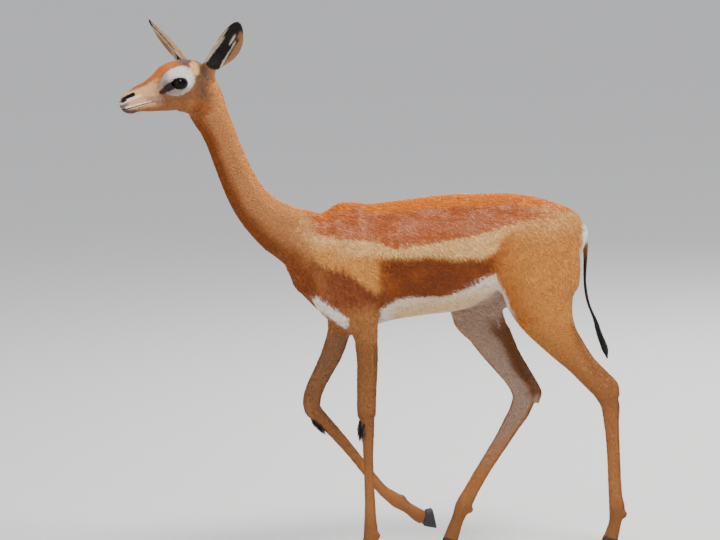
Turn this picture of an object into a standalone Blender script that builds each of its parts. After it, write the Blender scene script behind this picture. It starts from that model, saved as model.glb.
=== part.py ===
"""A female gerenuk walking, life size, parted into the pieces that a person would name.

Metres, +Z up. It walks towards -X, -Y is its left side, and the soles stand at Z = 0.
The flesh is lofted through rings of named size, blended into one body and parted with thin cuts.
"""

import math
from collections import namedtuple

import bmesh
import bpy
import numpy as np
from mathutils import Matrix, Vector

# Driving sizes of the animal, in metres
WITHERS_HEIGHT = 0.923
BARREL_HALF_WIDTH = 0.112
TRUNK_LENGTH = 0.69
NECK_HALF_DEPTH = 0.042
NECK_HALF_WIDTH = 0.033
HEAD_LENGTH = 0.237
HEAD_TURN_DEG = 10.0
EYE_RADIUS = 0.0178
EAR_LENGTH = 0.144
EAR_HALF_WIDTH = 0.032
LEG_SPREAD = 0.07
HOOF_LENGTH = 0.053
CLAW_HALF_WIDTH = 0.0085

# How the body is meshed and parted
GAP = 0.0003
FLESH_VOXEL = 0.0032
HEAD_VOXEL = 0.0017
RING_SIDES = 32
RING_STEPS = 6
BODY_TRIANGLES = 7000
HEAD_TRIANGLES = 3000

UP = Vector((0, 0, 1))
FORWARD = Vector((-1, 0, 0))
SIDES = {"left": -1, "right": 1}

# A ring of flesh: its centre, half depth (front to back, or top to bottom), half width,
# how much narrower the front or top is, and how square the section is (2 is an ellipse)
Ring = namedtuple("Ring", "x y z deep wide pear square", defaults=(0.0, 2.0))


def ring(x, z, deep, wide, y=0.0, pear=0.0, square=2.0):
    """A ring written with its depth and width first, as most lie on the middle plane."""
    return Ring(x, y, z, deep, wide, pear, square)


def trunk_ring(x, top, bottom, wide, pear=0.0, square=2.0):
    """A ring of the trunk, which is known by its top and bottom line."""
    return ring(x, (top + bottom) / 2, (top - bottom) / 2, wide, 0.0, pear, square)


# Short names of the sizes that many rings share
W, B = WITHERS_HEIGHT, BARREL_HALF_WIDTH
D, S = NECK_HALF_DEPTH, NECK_HALF_WIDTH
H = HEAD_LENGTH
L = LEG_SPREAD

TRUNK = [
    trunk_ring(-0.366, 0.820, 0.742, 0.020),
    trunk_ring(-0.350, 0.850, 0.700, 0.048),
    trunk_ring(-0.318, 0.890, 0.656, 0.070, 0.10),
    trunk_ring(-0.278, W - 0.008, 0.632, 0.082, 0.18),
    trunk_ring(-0.248, W + 0.010, 0.612, 0.087, 0.22),
    trunk_ring(-0.205, W + 0.001, 0.603, 0.094, 0.20),
    trunk_ring(-0.146, W, 0.616, 0.92 * B, 0.14, 2.1),
    trunk_ring(-0.055, W + 0.005, 0.625, B, 0.08, 2.15),
    trunk_ring(0.030, W + 0.010, 0.630, B, 0.04, 2.2),
    trunk_ring(0.090, W + 0.011, 0.644, 0.95 * B, 0.04, 2.2),
    trunk_ring(0.165, W + 0.007, 0.674, 0.90 * B, 0.06, 2.1),
    trunk_ring(0.230, W - 0.006, 0.680, 0.86 * B, 0.10),
    trunk_ring(0.290, W - 0.029, 0.668, 0.74 * B, 0.10),
    trunk_ring(0.332, W - 0.054, 0.662, 0.56 * B),
    trunk_ring(0.350, W - 0.080, 0.676, 0.42 * B),
    trunk_ring(-0.327 + TRUNK_LENGTH, W - 0.118, 0.700, 0.24 * B),
]

NECK = [
    ring(-0.290, 0.780, 0.108, 0.076),
    ring(-0.342, 0.832, 0.084, 0.066),
    ring(-0.379, 0.855, 0.0730, 0.059),
    ring(-0.411, 0.8755, 0.0660, 0.052),
    ring(-0.4545, 0.914, 1.31 * D, 0.045),
    ring(-0.489, 0.964, 1.15 * D, 0.039),
    ring(-0.5165, 1.028, 1.04 * D, 1.05 * S),
    ring(-0.540, 1.097, D, S),
    ring(-0.5565, 1.1415, 1.04 * D, 1.03 * S),
    ring(-0.5745, 1.181, 1.15 * D, 1.12 * S),
    ring(-0.585, 1.222, 1.12 * D, 1.14 * S),
    ring(-0.592, 1.258, 0.90 * D, 1.05 * S),
]
NECK_FRONT = Vector((1, 0, 0.6))

# The head in its own frame: X to the nose, Y to its left, Z up, from the back of the skull
SKULL = [
    trunk_ring(0.004, 0.036, -0.030, 0.026),
    trunk_ring(0.018, 0.058, -0.046, 0.036),
    trunk_ring(0.038, 0.070, -0.056, 0.0395, 0.12),
    trunk_ring(0.061, 0.075, -0.057, 0.0405, 0.14),
    trunk_ring(0.082, 0.075, -0.056, 0.0400, 0.10, 2.1),
    trunk_ring(0.102, 0.069, -0.055, 0.0365, 0.06, 2.1),
    trunk_ring(0.123, 0.0535, -0.054, 0.0310, 0.04, 2.2),
    trunk_ring(0.143, 0.0395, -0.052, 0.0255, 0.02, 2.2),
    trunk_ring(0.164, 0.0275, -0.0505, 0.0215, 0.00, 2.2),
    trunk_ring(0.184, 0.0195, -0.0490, 0.0195, -0.02, 2.2),
    trunk_ring(0.204, 0.0080, -0.0505, 0.0195, -0.04, 2.2),
    trunk_ring(0.219, -0.0030, -0.0525, 0.0195, -0.04, 2.3),
    trunk_ring(0.229, -0.0130, -0.0510, 0.0170, 0.0, 2.3),
    trunk_ring(H - 0.002, -0.025, -0.0450, 0.0100),
]
HEAD_ORIGIN = Vector((-0.5665, 0.0, 1.241))
# Egg-shaped masses on each side of the head: the centre and the half sizes of each
HEAD_MASSES = {
    "cheek": ((0.050, 0.0215, -0.026), (0.036, 0.0155, 0.032)),
    "throat": ((0.044, 0.0080, -0.046), (0.036, 0.0190, 0.018)),
    "nape": ((0.006, 0.0165, 0.029), (0.0160, 0.0160, 0.0200)),
    "eye_socket": ((0.0905, 0.0295, 0.0195), (0.0255, 0.0208, 0.0232)),
    "brow": ((0.086, 0.0260, 0.038), (0.026, 0.0120, 0.0120)),
    "upper_jaw": ((0.130, 0.0160, -0.016), (0.034, 0.0110, 0.0140)),
    "nostril_wing": ((0.216, 0.0110, -0.018), (0.0170, 0.0098, 0.0125)),
    "chin": ((0.212, 0.0085, -0.0425), (0.0180, 0.0108, 0.0085)),
}
EYE_PLACE = Vector((0.0905, 0.0295, 0.0195))
EYE_AXIS = Vector((0.30, 1.0, 0.10)).normalized()
EYE_OPENING = (0.0185, 0.0125)
EYE_ALMOND = 0.25
NOSTRIL_PLACE = Vector((0.2180, 0.0125, -0.0110))
NOSTRIL_AXIS = Vector((0.35, 1.0, 0.25))
NOSTRIL_HALF_SIZES = (0.0100, 0.0038)
NOSTRIL_SLOPE_DEG = 28.0
NOSTRIL_DEPTH = 0.0045
MOUTH_LINE = [(0.2385, -0.0390), (0.224, -0.0370), (0.205, -0.0335), (0.182, -0.0285), (0.158, -0.0245)]
MOUTH_HALF_OPENING = 0.0006
MOUTH_REACH = (0.0135, 0.035)

# The ears: where each stands on the head, which way it points and faces
EAR_ROOT = {"left": Vector((0.011, 0.0290, 0.049)), "right": Vector((0.048, 0.0335, 0.049))}
EAR_STANDS_OFF = {"left": 0.012, "right": 0.018}
EAR_CUT_RADIUS = 0.0235
EAR_AIM = {"left": Vector((-0.395, 0.527, 0.754)), "right": Vector((0.44, 0.505, 0.745))}
EAR_STUB = [
    (-0.026, 0.0190, 0.0190),
    (-0.008, 0.0165, 0.0190),
    (0.008, 0.0142, 0.0194),
    (0.026, 0.0136, 0.0200),
]
EAR_FACE = {"left": Vector((0.55, 0.85, -0.25)), "right": Vector((1.0, 0.05, -0.35))}
# Along an ear: its half width as a share, and how deep its back and its inner face lie
EAR_SHARES = (0.0, 0.08, 0.18, 0.32, 0.50, 0.68, 0.84, 0.94, 1.0)
EAR_WIDTHS = (0.62, 0.68, 0.80, 0.94, 1.00, 0.92, 0.70, 0.46, 0.20)
EAR_BACKS = (0.0135, 0.0145, 0.0160, 0.0165, 0.0150, 0.0110, 0.0065, 0.0036, 0.0016)
EAR_INNERS = (-0.0125, -0.0080, 0.0060, 0.0125, 0.0118, 0.0084, 0.0042, 0.0018, 0.0004)
EAR_RIM = 0.0016
EAR_STEPS = 16
EAR_ACROSS = 9
# How far each ear bows back from its face, and across towards its rear edge
EAR_BOW = {"left": (0.005, 0.010), "right": (-0.003, 0.000)}

# Shoulder masses and the four legs, each a list of rings from the top down
SHOULDER = [
    ring(-0.243, 0.910, 0.018, 0.010, 0.026),
    ring(-0.245, 0.885, 0.040, 0.020, 0.036),
    ring(-0.250, 0.830, 0.068, 0.030, 0.050),
    ring(-0.262, 0.762, 0.086, 0.037, 0.056),
    ring(-0.260, 0.705, 0.082, 0.038, 0.060),
    ring(-0.236, 0.658, 0.062, 0.036, 0.065),
    ring(-0.214, 0.617, 0.042, 0.030, 0.070),
    ring(-0.208, 0.580, 0.028, 0.022, 0.070),
]
FORELEG = {
    "left": [
        ring(-0.232, 0.710, 0.044, 0.016, L - 0.014),
        ring(-0.219, 0.668, 0.050, 0.027, L - 0.002),
        ring(-0.210, 0.630, 0.0380, 0.0290, L + 0.003),
        ring(-0.207, 0.581, 0.0306, 0.0260, L + 0.002),
        ring(-0.206, 0.529, 0.0275, 0.0225, L),
        ring(-0.209, 0.478, 0.0264, 0.0205, L - 0.002),
        ring(-0.212, 0.432, 0.0252, 0.0200, L - 0.003, 0.0, 2.2),
        ring(-0.2135, 0.395, 0.0248, 0.0215, L - 0.004, 0.0, 2.4),
        ring(-0.2130, 0.360, 0.0215, 0.0200, L - 0.005, 0.0, 2.3),
        ring(-0.2125, 0.325, 0.0162, 0.0155, L - 0.005),
        ring(-0.2140, 0.275, 0.0138, 0.0128, L - 0.006),
        ring(-0.2137, 0.222, 0.0138, 0.0122, L - 0.007),
        ring(-0.2140, 0.168, 0.0148, 0.0122, L - 0.008),
        ring(-0.2150, 0.122, 0.0162, 0.0132, L - 0.008),
        ring(-0.2150, 0.094, 0.0184, 0.0158, L - 0.009),
        ring(-0.2160, 0.070, 0.0195, 0.0172, L - 0.009, 0.0, 2.2),
        ring(-0.2260, 0.048, 0.0165, 0.0158, L - 0.009),
        ring(-0.2390, 0.027, 0.0185, 0.0172, L - 0.009, 0.0, 2.3),
        ring(-0.2445, 0.018, 0.0185, 0.0172, L - 0.009, 0.0, 2.3),
    ],
    "right": [
        ring(-0.236, 0.710, 0.044, 0.016, L - 0.014),
        ring(-0.240, 0.668, 0.050, 0.028, L - 0.002),
        ring(-0.250, 0.625, 0.0385, 0.028, L),
        ring(-0.259, 0.580, 0.0300, 0.025, L),
        ring(-0.277, 0.531, 0.0275, 0.0225, L),
        ring(-0.303, 0.484, 0.0245, 0.0205, L),
        ring(-0.324, 0.446, 0.0235, 0.0200, L, 0.0, 2.2),
        ring(-0.3350, 0.413, 0.0235, 0.0215, L, 0.0, 2.3),
        ring(-0.3320, 0.386, 0.0225, 0.0215, L, 0.0, 2.3),
        ring(-0.3140, 0.362, 0.0200, 0.0190, L, 0.0, 2.2),
        ring(-0.2850, 0.331, 0.0168, 0.0155, L),
        ring(-0.2420, 0.276, 0.0146, 0.0130, L),
        ring(-0.2000, 0.217, 0.0140, 0.0124, L),
        ring(-0.1640, 0.168, 0.0150, 0.0130, L),
        ring(-0.1420, 0.148, 0.0175, 0.0155, L),
        ring(-0.1230, 0.133, 0.0195, 0.0172, L, 0.0, 2.2),
        ring(-0.0990, 0.115, 0.0160, 0.0156, L),
        ring(-0.0730, 0.094, 0.0182, 0.0172, L, 0.0, 2.3),
        ring(-0.0600, 0.084, 0.0182, 0.0172, L, 0.0, 2.3),
    ],
}
HINDLEG = {
    "left": [
        ring(0.236, 0.905, 0.030, 0.016, 0.024),
        ring(0.237, 0.878, 0.070, 0.036, 0.040),
        ring(0.240, 0.828, 0.102, 0.050, 0.054),
        ring(0.244, 0.765, 0.112, 0.056, 0.062),
        ring(0.246, 0.705, 0.108, 0.053, L),
        ring(0.248, 0.658, 0.093, 0.047, L + 0.004),
        ring(0.261, 0.614, 0.0745, 0.041, L + 0.006),
        ring(0.282, 0.570, 0.0560, 0.034, L + 0.006),
        ring(0.309, 0.525, 0.0410, 0.028, L + 0.005),
        ring(0.338, 0.484, 0.0300, 0.0235, L + 0.004),
        ring(0.369, 0.443, 0.0255, 0.0205, L + 0.003),
        ring(0.4010, 0.410, 0.0275, 0.0205, L + 0.002, 0.0, 2.2),
        ring(0.4170, 0.374, 0.0250, 0.0190, L + 0.001, 0.0, 2.2),
        ring(0.4185, 0.334, 0.0212, 0.0160, L),
        ring(0.4205, 0.285, 0.0186, 0.0140, L - 0.001),
        ring(0.4220, 0.2215, 0.0180, 0.0132, L - 0.002),
        ring(0.4218, 0.1705, 0.0184, 0.0132, L - 0.002),
        ring(0.4230, 0.1300, 0.0192, 0.0148, L - 0.002),
        ring(0.4255, 0.1000, 0.0212, 0.0172, L - 0.002, 0.0, 2.2),
        ring(0.4190, 0.0640, 0.0166, 0.0150, L - 0.002),
        ring(0.4090, 0.0300, 0.0190, 0.0172, L - 0.002, 0.0, 2.3),
        ring(0.4050, 0.0200, 0.0190, 0.0172, L - 0.002, 0.0, 2.3),
    ],
    "right": [
        ring(0.236, 0.905, 0.030, 0.016, 0.024),
        ring(0.237, 0.878, 0.070, 0.036, 0.040),
        ring(0.236, 0.828, 0.100, 0.050, 0.054),
        ring(0.216, 0.765, 0.112, 0.056, 0.062),
        ring(0.168, 0.710, 0.104, 0.050, L - 0.003),
        ring(0.122, 0.662, 0.0880, 0.043, L + 0.004),
        ring(0.109, 0.614, 0.0735, 0.039, L + 0.006),
        ring(0.129, 0.565, 0.0545, 0.034, L + 0.006),
        ring(0.150, 0.518, 0.0430, 0.028, L + 0.004),
        ring(0.1760, 0.472, 0.0340, 0.0235, L + 0.002),
        ring(0.2020, 0.428, 0.0285, 0.0205, L),
        ring(0.2180, 0.388, 0.0300, 0.0205, L, 0.0, 2.2),
        ring(0.2060, 0.350, 0.0278, 0.0190, L, 0.0, 2.2),
        ring(0.1850, 0.318, 0.0245, 0.0165, L),
        ring(0.1580, 0.2765, 0.0215, 0.0145, L),
        ring(0.1270, 0.2330, 0.0200, 0.0136, L),
        ring(0.0960, 0.1880, 0.0195, 0.0134, L),
        ring(0.0690, 0.1450, 0.0200, 0.0148, L),
        ring(0.0490, 0.1120, 0.0216, 0.0170, L, 0.0, 2.2),
        ring(0.0310, 0.0740, 0.0168, 0.0152, L),
        ring(0.0150, 0.0330, 0.0190, 0.0172, L, 0.0, 2.3),
        ring(0.0105, 0.0210, 0.0190, 0.0172, L, 0.0, 2.3),
    ],
}
# The tendon that stands off behind the lower thigh, down to the point of the hock
HAMSTRING = {
    "left": [
        ring(0.318, 0.566, 0.020, 0.016, L + 0.005),
        ring(0.367, 0.498, 0.0105, 0.0085, L + 0.004),
        ring(0.405, 0.456, 0.0090, 0.0075, L + 0.003),
        ring(0.4290, 0.424, 0.0115, 0.0115, L + 0.002),
        ring(0.4300, 0.395, 0.0135, 0.0140, L + 0.001),
    ],
    "right": [
        ring(0.168, 0.566, 0.020, 0.016, L + 0.005),
        ring(0.199, 0.505, 0.0120, 0.0090, L + 0.003),
        ring(0.227, 0.455, 0.0100, 0.0080, L + 0.001),
        ring(0.246, 0.414, 0.0118, 0.0115, L),
        ring(0.2540, 0.394, 0.0125, 0.0125, L),
        ring(0.2440, 0.370, 0.0150, 0.0130, L),
    ],
}
# The tail's root is flesh of the rump, and the rest hangs clear behind it
TAIL_ROOT = [
    ring(0.324, 0.826, 0.026, 0.022),
    ring(0.350, 0.832, 0.017, 0.016),
    ring(0.364, 0.829, 0.0125, 0.0125),
    ring(0.3745, 0.816, 0.0108, 0.0108),
    ring(0.3800, 0.797, 0.0098, 0.0098),
    ring(0.3810, 0.780, 0.0092, 0.0092),
]
TAIL = [
    ring(0.3795, 0.803, 0.0098, 0.0098),
    ring(0.3815, 0.780, 0.0088, 0.0088),
    ring(0.3800, 0.742, 0.0066, 0.0070),
    ring(0.3765, 0.692, 0.0054, 0.0058),
    ring(0.3790, 0.650, 0.0050, 0.0054),
    ring(0.3870, 0.615, 0.0052, 0.0056),
]
TAIL_CUT_POINT = Vector((0.3800, 0, 0.799))
TAIL_CUT_NORMAL = Vector((0.20, 0, -0.98)).normalized()
TAIL_CUT_RADIUS = 0.0195
TAIL_FRONT = Vector((1, 0, 0.2))
TUFT = [
    ring(0.3882, 0.6105, 0.0058, 0.0062),
    ring(0.3995, 0.583, 0.0090, 0.0085),
    ring(0.4090, 0.553, 0.0105, 0.0090),
    ring(0.4170, 0.525, 0.0080, 0.0070),
    ring(0.4270, 0.496, 0.0030, 0.0030),
]

# A foot: where the middle of its sole lies, and how far its toe is turned down
Foot = namedtuple("Foot", "x y z pitch")
FEET = {
    "front_left": Foot(-0.2425, -(L - 0.009), 0.0, 0.0),
    "front_right": Foot(-0.0300, L, 0.0825, 100.0),
    "hind_left": Foot(0.4020, -(L - 0.002), 0.0, 0.0),
    "hind_right": Foot(0.0075, L, 0.0, 0.0),
}
CLAW_SIDES = 16
CORONET_HEIGHT = 0.027
CORONET_SLOPE_DEG = 24.0
CORONET_POINT = Vector((-0.004, 0, CORONET_HEIGHT))
CORONET_NORMAL = Matrix.Rotation(-math.radians(CORONET_SLOPE_DEG), 3, "Y") @ UP
# The pair of dewclaws behind each fetlock: where they sit and how they lean
DEWCLAWS = [
    (-0.1990, -(L - 0.009), 0.073, 20.0),
    (0.4430, -(L - 0.002), 0.085, 20.0),
    (0.0650, L, 0.098, 40.0),
    (-0.1090, L, 0.141, -50.0),
]
DEWCLAW_HALF_SIZES = (0.0085, 0.0065, 0.0115)
DEWCLAW_SPREAD = 0.0095

# A cut between two nodes: a point on it, its normal, its length and its width
Cut = namedtuple("Cut", "point normal length width")
HEAD_CUT = Cut((-0.575, 0, 1.183), (-0.40, 0, 0.92), 0.24, 0.24)
CUTS = [
    HEAD_CUT,
    Cut((-0.392, 0, 0.862), (-0.78, 0, 0.62), 0.26, 0.26),
    Cut((-0.207, -(L + 0.002), 0.580), UP, 0.12, 0.09),
    Cut((-0.259, L + 0.002, 0.580), UP, 0.12, 0.09),
    Cut((0.268, -(L + 0.010), 0.598), UP, 0.20, 0.118),
    Cut((0.115, L + 0.010, 0.598), UP, 0.20, 0.118),
    Cut((-0.2135, -L, 0.397), UP, 0.08, 0.08),
    Cut((-0.336, L, 0.401), (0.1, 0, 1), 0.08, 0.08),
    Cut((0.418, -L, 0.384), (-0.12, 0, 1), 0.09, 0.08),
    Cut((0.220, L, 0.369), (0.36, 0, 1), 0.11, 0.08),
]
# Each node that the cuts leave of the body, and a point inside it
BODY_NODES = {
    "neck": (-0.50, 0, 1.0),
    "torso": (0.0, 0, 0.76),
    "front_left_forearm": (-0.209, -L, 0.49),
    "front_right_forearm": (-0.295, L, 0.49),
    "front_left_shank": (-0.214, -L, 0.21),
    "front_right_shank": (-0.22, L, 0.24),
    "hind_left_thigh": (0.33, -L, 0.50),
    "hind_right_thigh": (0.16, L, 0.49),
    "hind_left_shank": (0.421, -L, 0.20),
    "hind_right_shank": (0.12, L, 0.21),
}
NEAR_NODE = 0.15

# A kind of lock of hair: its length, its half width and how far it bows outwards
Lock = namedtuple("Lock", "length wide bend")
TUFT_LOCK = Lock(0.046, 0.0046, 0.0022)
BRUSH_LOCK = Lock(0.026, 0.0042, 0.0008)
LOCK_RINGS = 5
LOCK_THICKNESS_SHARE = 0.45
TUFT_LOCKS = 16
BRUSH_LOCKS = 7
BRUSH_ROWS = (-0.006, 0.006, 0.0)
TURN_BETWEEN_LOCKS = 2.4
# Where the brush below each front knee starts and ends, and which way it faces
BRUSHES = {
    "left": (Vector((-0.2340, -(L - 0.005), 0.374)), Vector((-0.2310, -(L - 0.005), 0.340)), FORWARD),
    "right": (Vector((-0.3465, L, 0.376)), Vector((-0.3180, L, 0.345)), Vector((-0.62, 0, -0.78))),
}

COLOURS = {
    "coat": (0.47, 0.22, 0.085),
    "pale coat": (0.62, 0.50, 0.38),
    "hoof": (0.045, 0.035, 0.030),
    "eye": (0.012, 0.009, 0.008),
    "dark hair": (0.025, 0.018, 0.016),
}


def clear_scene():
    """Leaves no object in the file."""
    for obj in list(bpy.data.objects):
        bpy.data.objects.remove(obj, do_unlink=True)


def new_collection(name):
    """An empty collection of that name, linked to the scene."""
    collection = bpy.data.collections.new(name)
    bpy.context.scene.collection.children.link(collection)
    return collection


def material(name, roughness=0.8):
    """The material of that name, made when it is first asked for."""
    found = bpy.data.materials.get(name)
    if found is None:
        found = bpy.data.materials.new(name)
        found.use_nodes = True
        shader = found.node_tree.nodes["Principled BSDF"]
        shader.inputs["Base Color"].default_value = (*COLOURS[name], 1.0)
        shader.inputs["Roughness"].default_value = roughness
        shader.inputs["Metallic"].default_value = 0.0
    return found


def object_of(name, bm, collection):
    """A new object that holds the bmesh, with its faces turned outwards."""
    bmesh.ops.recalc_face_normals(bm, faces=bm.faces)
    mesh = bpy.data.meshes.new(name)
    bm.to_mesh(mesh)
    bm.free()
    obj = bpy.data.objects.new(name, mesh)
    collection.objects.link(obj)
    return obj


def cutter_of(name, bm, collection):
    """A new object that only cuts others, so it is drawn as wires and not rendered."""
    cutter = object_of(name, bm, collection)
    cutter.hide_render = True
    cutter.display_type = "WIRE"
    return cutter


def apply_modifiers(obj):
    """The object's mesh as its modifiers leave it, in place of the old one."""
    graph = bpy.context.evaluated_depsgraph_get()
    mesh = bpy.data.meshes.new_from_object(obj.evaluated_get(graph))
    old = obj.data
    obj.modifiers.clear()
    obj.data = mesh
    bpy.data.meshes.remove(old)


def spline(rows, steps):
    """Rows of numbers read from a smooth curve through the rows given."""
    rows = np.array(rows, float)
    ends = np.vstack([2 * rows[0] - rows[1], rows, 2 * rows[-1] - rows[-2]])
    found = []
    for before, a, b, after in zip(ends, ends[1:], ends[2:], ends[3:]):
        for t in np.linspace(0, 1, steps, endpoint=False):
            found.append(
                a
                + 0.5 * t * (b - before)
                + t * t * (before - 2.5 * a + 2 * b - 0.5 * after)
                + t**3 * (1.5 * (a - b) + 0.5 * (after - before))
            )
    found.append(rows[-1])
    return np.array(found)


def add_wall(bm, rings):
    """The faces between rings of points, open at both ends, and the corners of each ring."""
    made = [[bm.verts.new(p) for p in points] for points in rings]
    count = len(made[0])
    for low, high in zip(made, made[1:]):
        for i in range(count):
            bm.faces.new((low[i], low[(i + 1) % count], high[(i + 1) % count], high[i]))
    return made


def add_domed_rings(bm, rings):
    """A closed body through rings of points, with a low dome on each end."""
    made = add_wall(bm, rings)
    count = len(made[0])
    for end, nearest in ((made[0], made[1]), (made[-1], made[-2])):
        middle = sum((v.co for v in end), Vector()) / count
        inner = sum((v.co for v in nearest), Vector()) / count
        tip = bm.verts.new(middle + (middle - inner) * 0.3)
        for i in range(count):
            bm.faces.new((end[i], end[(i + 1) % count], tip))


def add_flat_rings(bm, rings):
    """A closed body through rings of points, flat on both ends."""
    made = add_wall(bm, rings)
    bm.faces.new(made[0][::-1])
    bm.faces.new(made[-1])


def loft_loops(rings, front, side, sides, steps, place=None):
    """Loops of points through rings, whose depth runs towards front. Side -1 is the left."""
    rows = spline(rings, steps)
    rows[:, 1] *= side
    centres = rows[:, :3]
    loops = []
    for i, row in enumerate(rows):
        ahead = centres[min(i + 1, len(rows) - 1)] - centres[max(i - 1, 0)]
        along = Vector(ahead).normalized()
        deep_axis = (front - along * front.dot(along)).normalized()
        wide_axis = along.cross(deep_axis)
        power = 2 / row[6]
        loop = []
        for j in range(sides):
            c, s = math.cos(math.tau * j / sides), math.sin(math.tau * j / sides)
            wide = math.copysign(abs(c) ** power, c) * row[4] * (1 - row[5] * s)
            deep = math.copysign(abs(s) ** power, s) * row[3]
            loop.append(Vector(row[:3]) + wide_axis * wide + deep_axis * deep)
        loops.append([place @ p for p in loop] if place else loop)
    return loops


def add_loft(bm, rings, front, side=1, sides=RING_SIDES, steps=RING_STEPS, place=None):
    """A body of flesh through rings, with a low dome on each end."""
    add_domed_rings(bm, loft_loops(rings, front, side, sides, steps, place))


def add_ball(bm, centre, sizes, place=None, turn=None):
    """An egg-shaped mass with three half sizes."""
    matrix = Matrix.Translation(centre) @ (turn or Matrix.Identity(4)) @ Matrix.Diagonal((*sizes, 1))
    if place:
        matrix = place @ matrix
    bmesh.ops.create_uvsphere(bm, u_segments=24, v_segments=16, radius=1.0, matrix=matrix)


def head_frame():
    """The matrix that carries the head's own frame to its place."""
    turn = math.radians(HEAD_TURN_DEG)
    nose = Vector((-math.cos(turn), -math.sin(turn), 0))
    return Matrix.Translation(HEAD_ORIGIN) @ Matrix(
        [[nose.x, -nose.y, 0], [nose.y, nose.x, 0], [0, 0, 1]]
    ).to_4x4()


def mirrored(point, side):
    """A point of the head's left half, or its like on the right."""
    return Vector((point.x, point.y * (1 if side == "left" else -1), point.z))


def add_head_flesh(bm, place):
    """The skull, the masses on its sides and the stub that each ear stands on."""
    add_loft(bm, SKULL, UP, place=place)
    for side in SIDES:
        for centre, half_sizes in HEAD_MASSES.values():
            add_ball(bm, mirrored(Vector(centre), side), half_sizes, place)
        aim = mirrored(EAR_AIM[side].normalized(), side)
        root = mirrored(EAR_ROOT[side], side)
        stub = [Ring(*(root + aim * t), deep, wide) for t, deep, wide in EAR_STUB]
        add_loft(bm, stub, mirrored(EAR_FACE[side], side), place=place)


def blended(name, add_flesh, voxel, passes, collection):
    """One smooth skin round all the flesh that add_flesh puts in."""
    bm = bmesh.new()
    add_flesh(bm)
    obj = object_of(name, bm, collection)
    remesh = obj.modifiers.new("one_skin", "REMESH")
    remesh.mode = "VOXEL"
    remesh.voxel_size = voxel
    apply_modifiers(obj)
    for label, repeat, weight in passes:
        group = obj.vertex_groups.new(name=label)
        weights = weight(obj)
        for step in range(11):
            chosen = np.flatnonzero(np.round(weights * 10) == step)
            group.add(chosen.tolist(), step / 10, "REPLACE")
        smooth = obj.modifiers.new(label, "SMOOTH")
        smooth.factor = 0.5
        smooth.iterations = repeat
        smooth.vertex_group = label
    apply_modifiers(obj)
    return obj


def points_of(obj):
    """The places of the object's points, one row each."""
    points = np.empty(len(obj.data.vertices) * 3)
    obj.data.vertices.foreach_get("co", points)
    return points.reshape(-1, 3)


def everywhere(obj):
    """1 at every point."""
    return np.ones(len(obj.data.vertices))


def on_the_trunk(obj):
    """1 on the trunk and the legs' roots, falling to 0 below the belly and up the neck."""
    points = points_of(obj)
    below = np.clip((points[:, 2] - 0.56) / 0.08, 0, 1)
    behind = np.clip((points[:, 0] + 0.46) / 0.08, 0, 1)
    off_tail = np.clip((0.345 - points[:, 0]) / 0.01, 0, 1)
    return below * behind * off_tail


def add_body_flesh(bm):
    """All the flesh of the animal: trunk, neck, head, tail root, legs and dewclaws."""
    add_loft(bm, TRUNK, UP)
    add_loft(bm, NECK, NECK_FRONT)
    add_head_flesh(bm, head_frame())
    add_loft(bm, TAIL_ROOT, UP, sides=16)
    for side, sign in SIDES.items():
        add_loft(bm, SHOULDER, FORWARD, sign)
        add_loft(bm, FORELEG[side], FORWARD, sign)
        add_loft(bm, HINDLEG[side], FORWARD, sign)
        add_loft(bm, HAMSTRING[side], FORWARD, sign, sides=16)
    for x, y, z, lean in DEWCLAWS:
        for across in (-DEWCLAW_SPREAD, DEWCLAW_SPREAD):
            turn = Matrix.Rotation(math.radians(lean), 4, "Y")
            add_ball(bm, (x, y + across, z), DEWCLAW_HALF_SIZES, turn=turn)


def add_knife(bm, centre, normal, length, width):
    """A plate as thin as the gap between two nodes, square to normal."""
    turn = Vector(normal).to_track_quat("Z", "Y").to_matrix().to_4x4()
    size = Matrix.Diagonal((length, width, GAP, 1))
    bmesh.ops.create_cube(bm, size=1.0, matrix=Matrix.Translation(centre) @ turn @ size)


def foot_frame(foot):
    """The foot's own frame: X to the toe, Z up from the sole."""
    turn = Matrix.Rotation(math.radians(foot.pitch), 4, "Y")
    return Matrix.Translation((foot.x, foot.y, foot.z)) @ turn.inverted() @ Matrix.Rotation(math.pi, 4, "Z")


def build_knives(collection):
    """All the cuts that part the body, as one cutter."""
    bm = bmesh.new()
    for thin_cut in CUTS:
        add_knife(bm, *thin_cut)
    tail_cut_sizes = (TAIL_CUT_RADIUS, TAIL_CUT_RADIUS)
    add_prism(bm, TAIL_CUT_POINT, TAIL_CUT_NORMAL, UP + FORWARD, tail_cut_sizes, 0.0, 0.08)
    for foot in FEET.values():
        frame = foot_frame(foot)
        add_knife(bm, frame @ CORONET_POINT, frame.to_3x3() @ CORONET_NORMAL, 0.07, 0.06)
    return cutter_of("knives", bm, collection)


def loose_parts(obj):
    """The object's mesh, and the points of each of its separate bodies, the largest first."""
    bm = bmesh.new()
    bm.from_mesh(obj.data)
    left = set(bm.verts)
    parts = []
    while left:
        start = left.pop()
        found, todo = {start}, [start]
        while todo:
            for edge in todo.pop().link_edges:
                for v in edge.verts:
                    if v in left:
                        left.remove(v)
                        found.add(v)
                        todo.append(v)
        parts.append(found)
    return bm, sorted(parts, key=len, reverse=True)


def part_body(flesh, collection):
    """The nodes that the cuts leave of the flesh, each the largest body near its point."""
    bm, parts = loose_parts(flesh)
    names = dict(BODY_NODES)
    for part in parts:
        middle = sum((v.co for v in part), Vector()) / len(part)
        near = {n: (Vector(p) - middle).length for n, p in names.items()}
        name = min(near, key=near.get, default=None)
        if name is None or near[name] > NEAR_NODE:
            continue
        del names[name]
        piece = bmesh.new()
        made = {v: piece.verts.new(v.co) for v in part}
        for face in {f for v in part for f in v.link_faces}:
            piece.faces.new([made[v] for v in face.verts])
        obj = object_of(name, piece, collection)
        obj.data.materials.append(material("coat"))
    bm.free()


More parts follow.
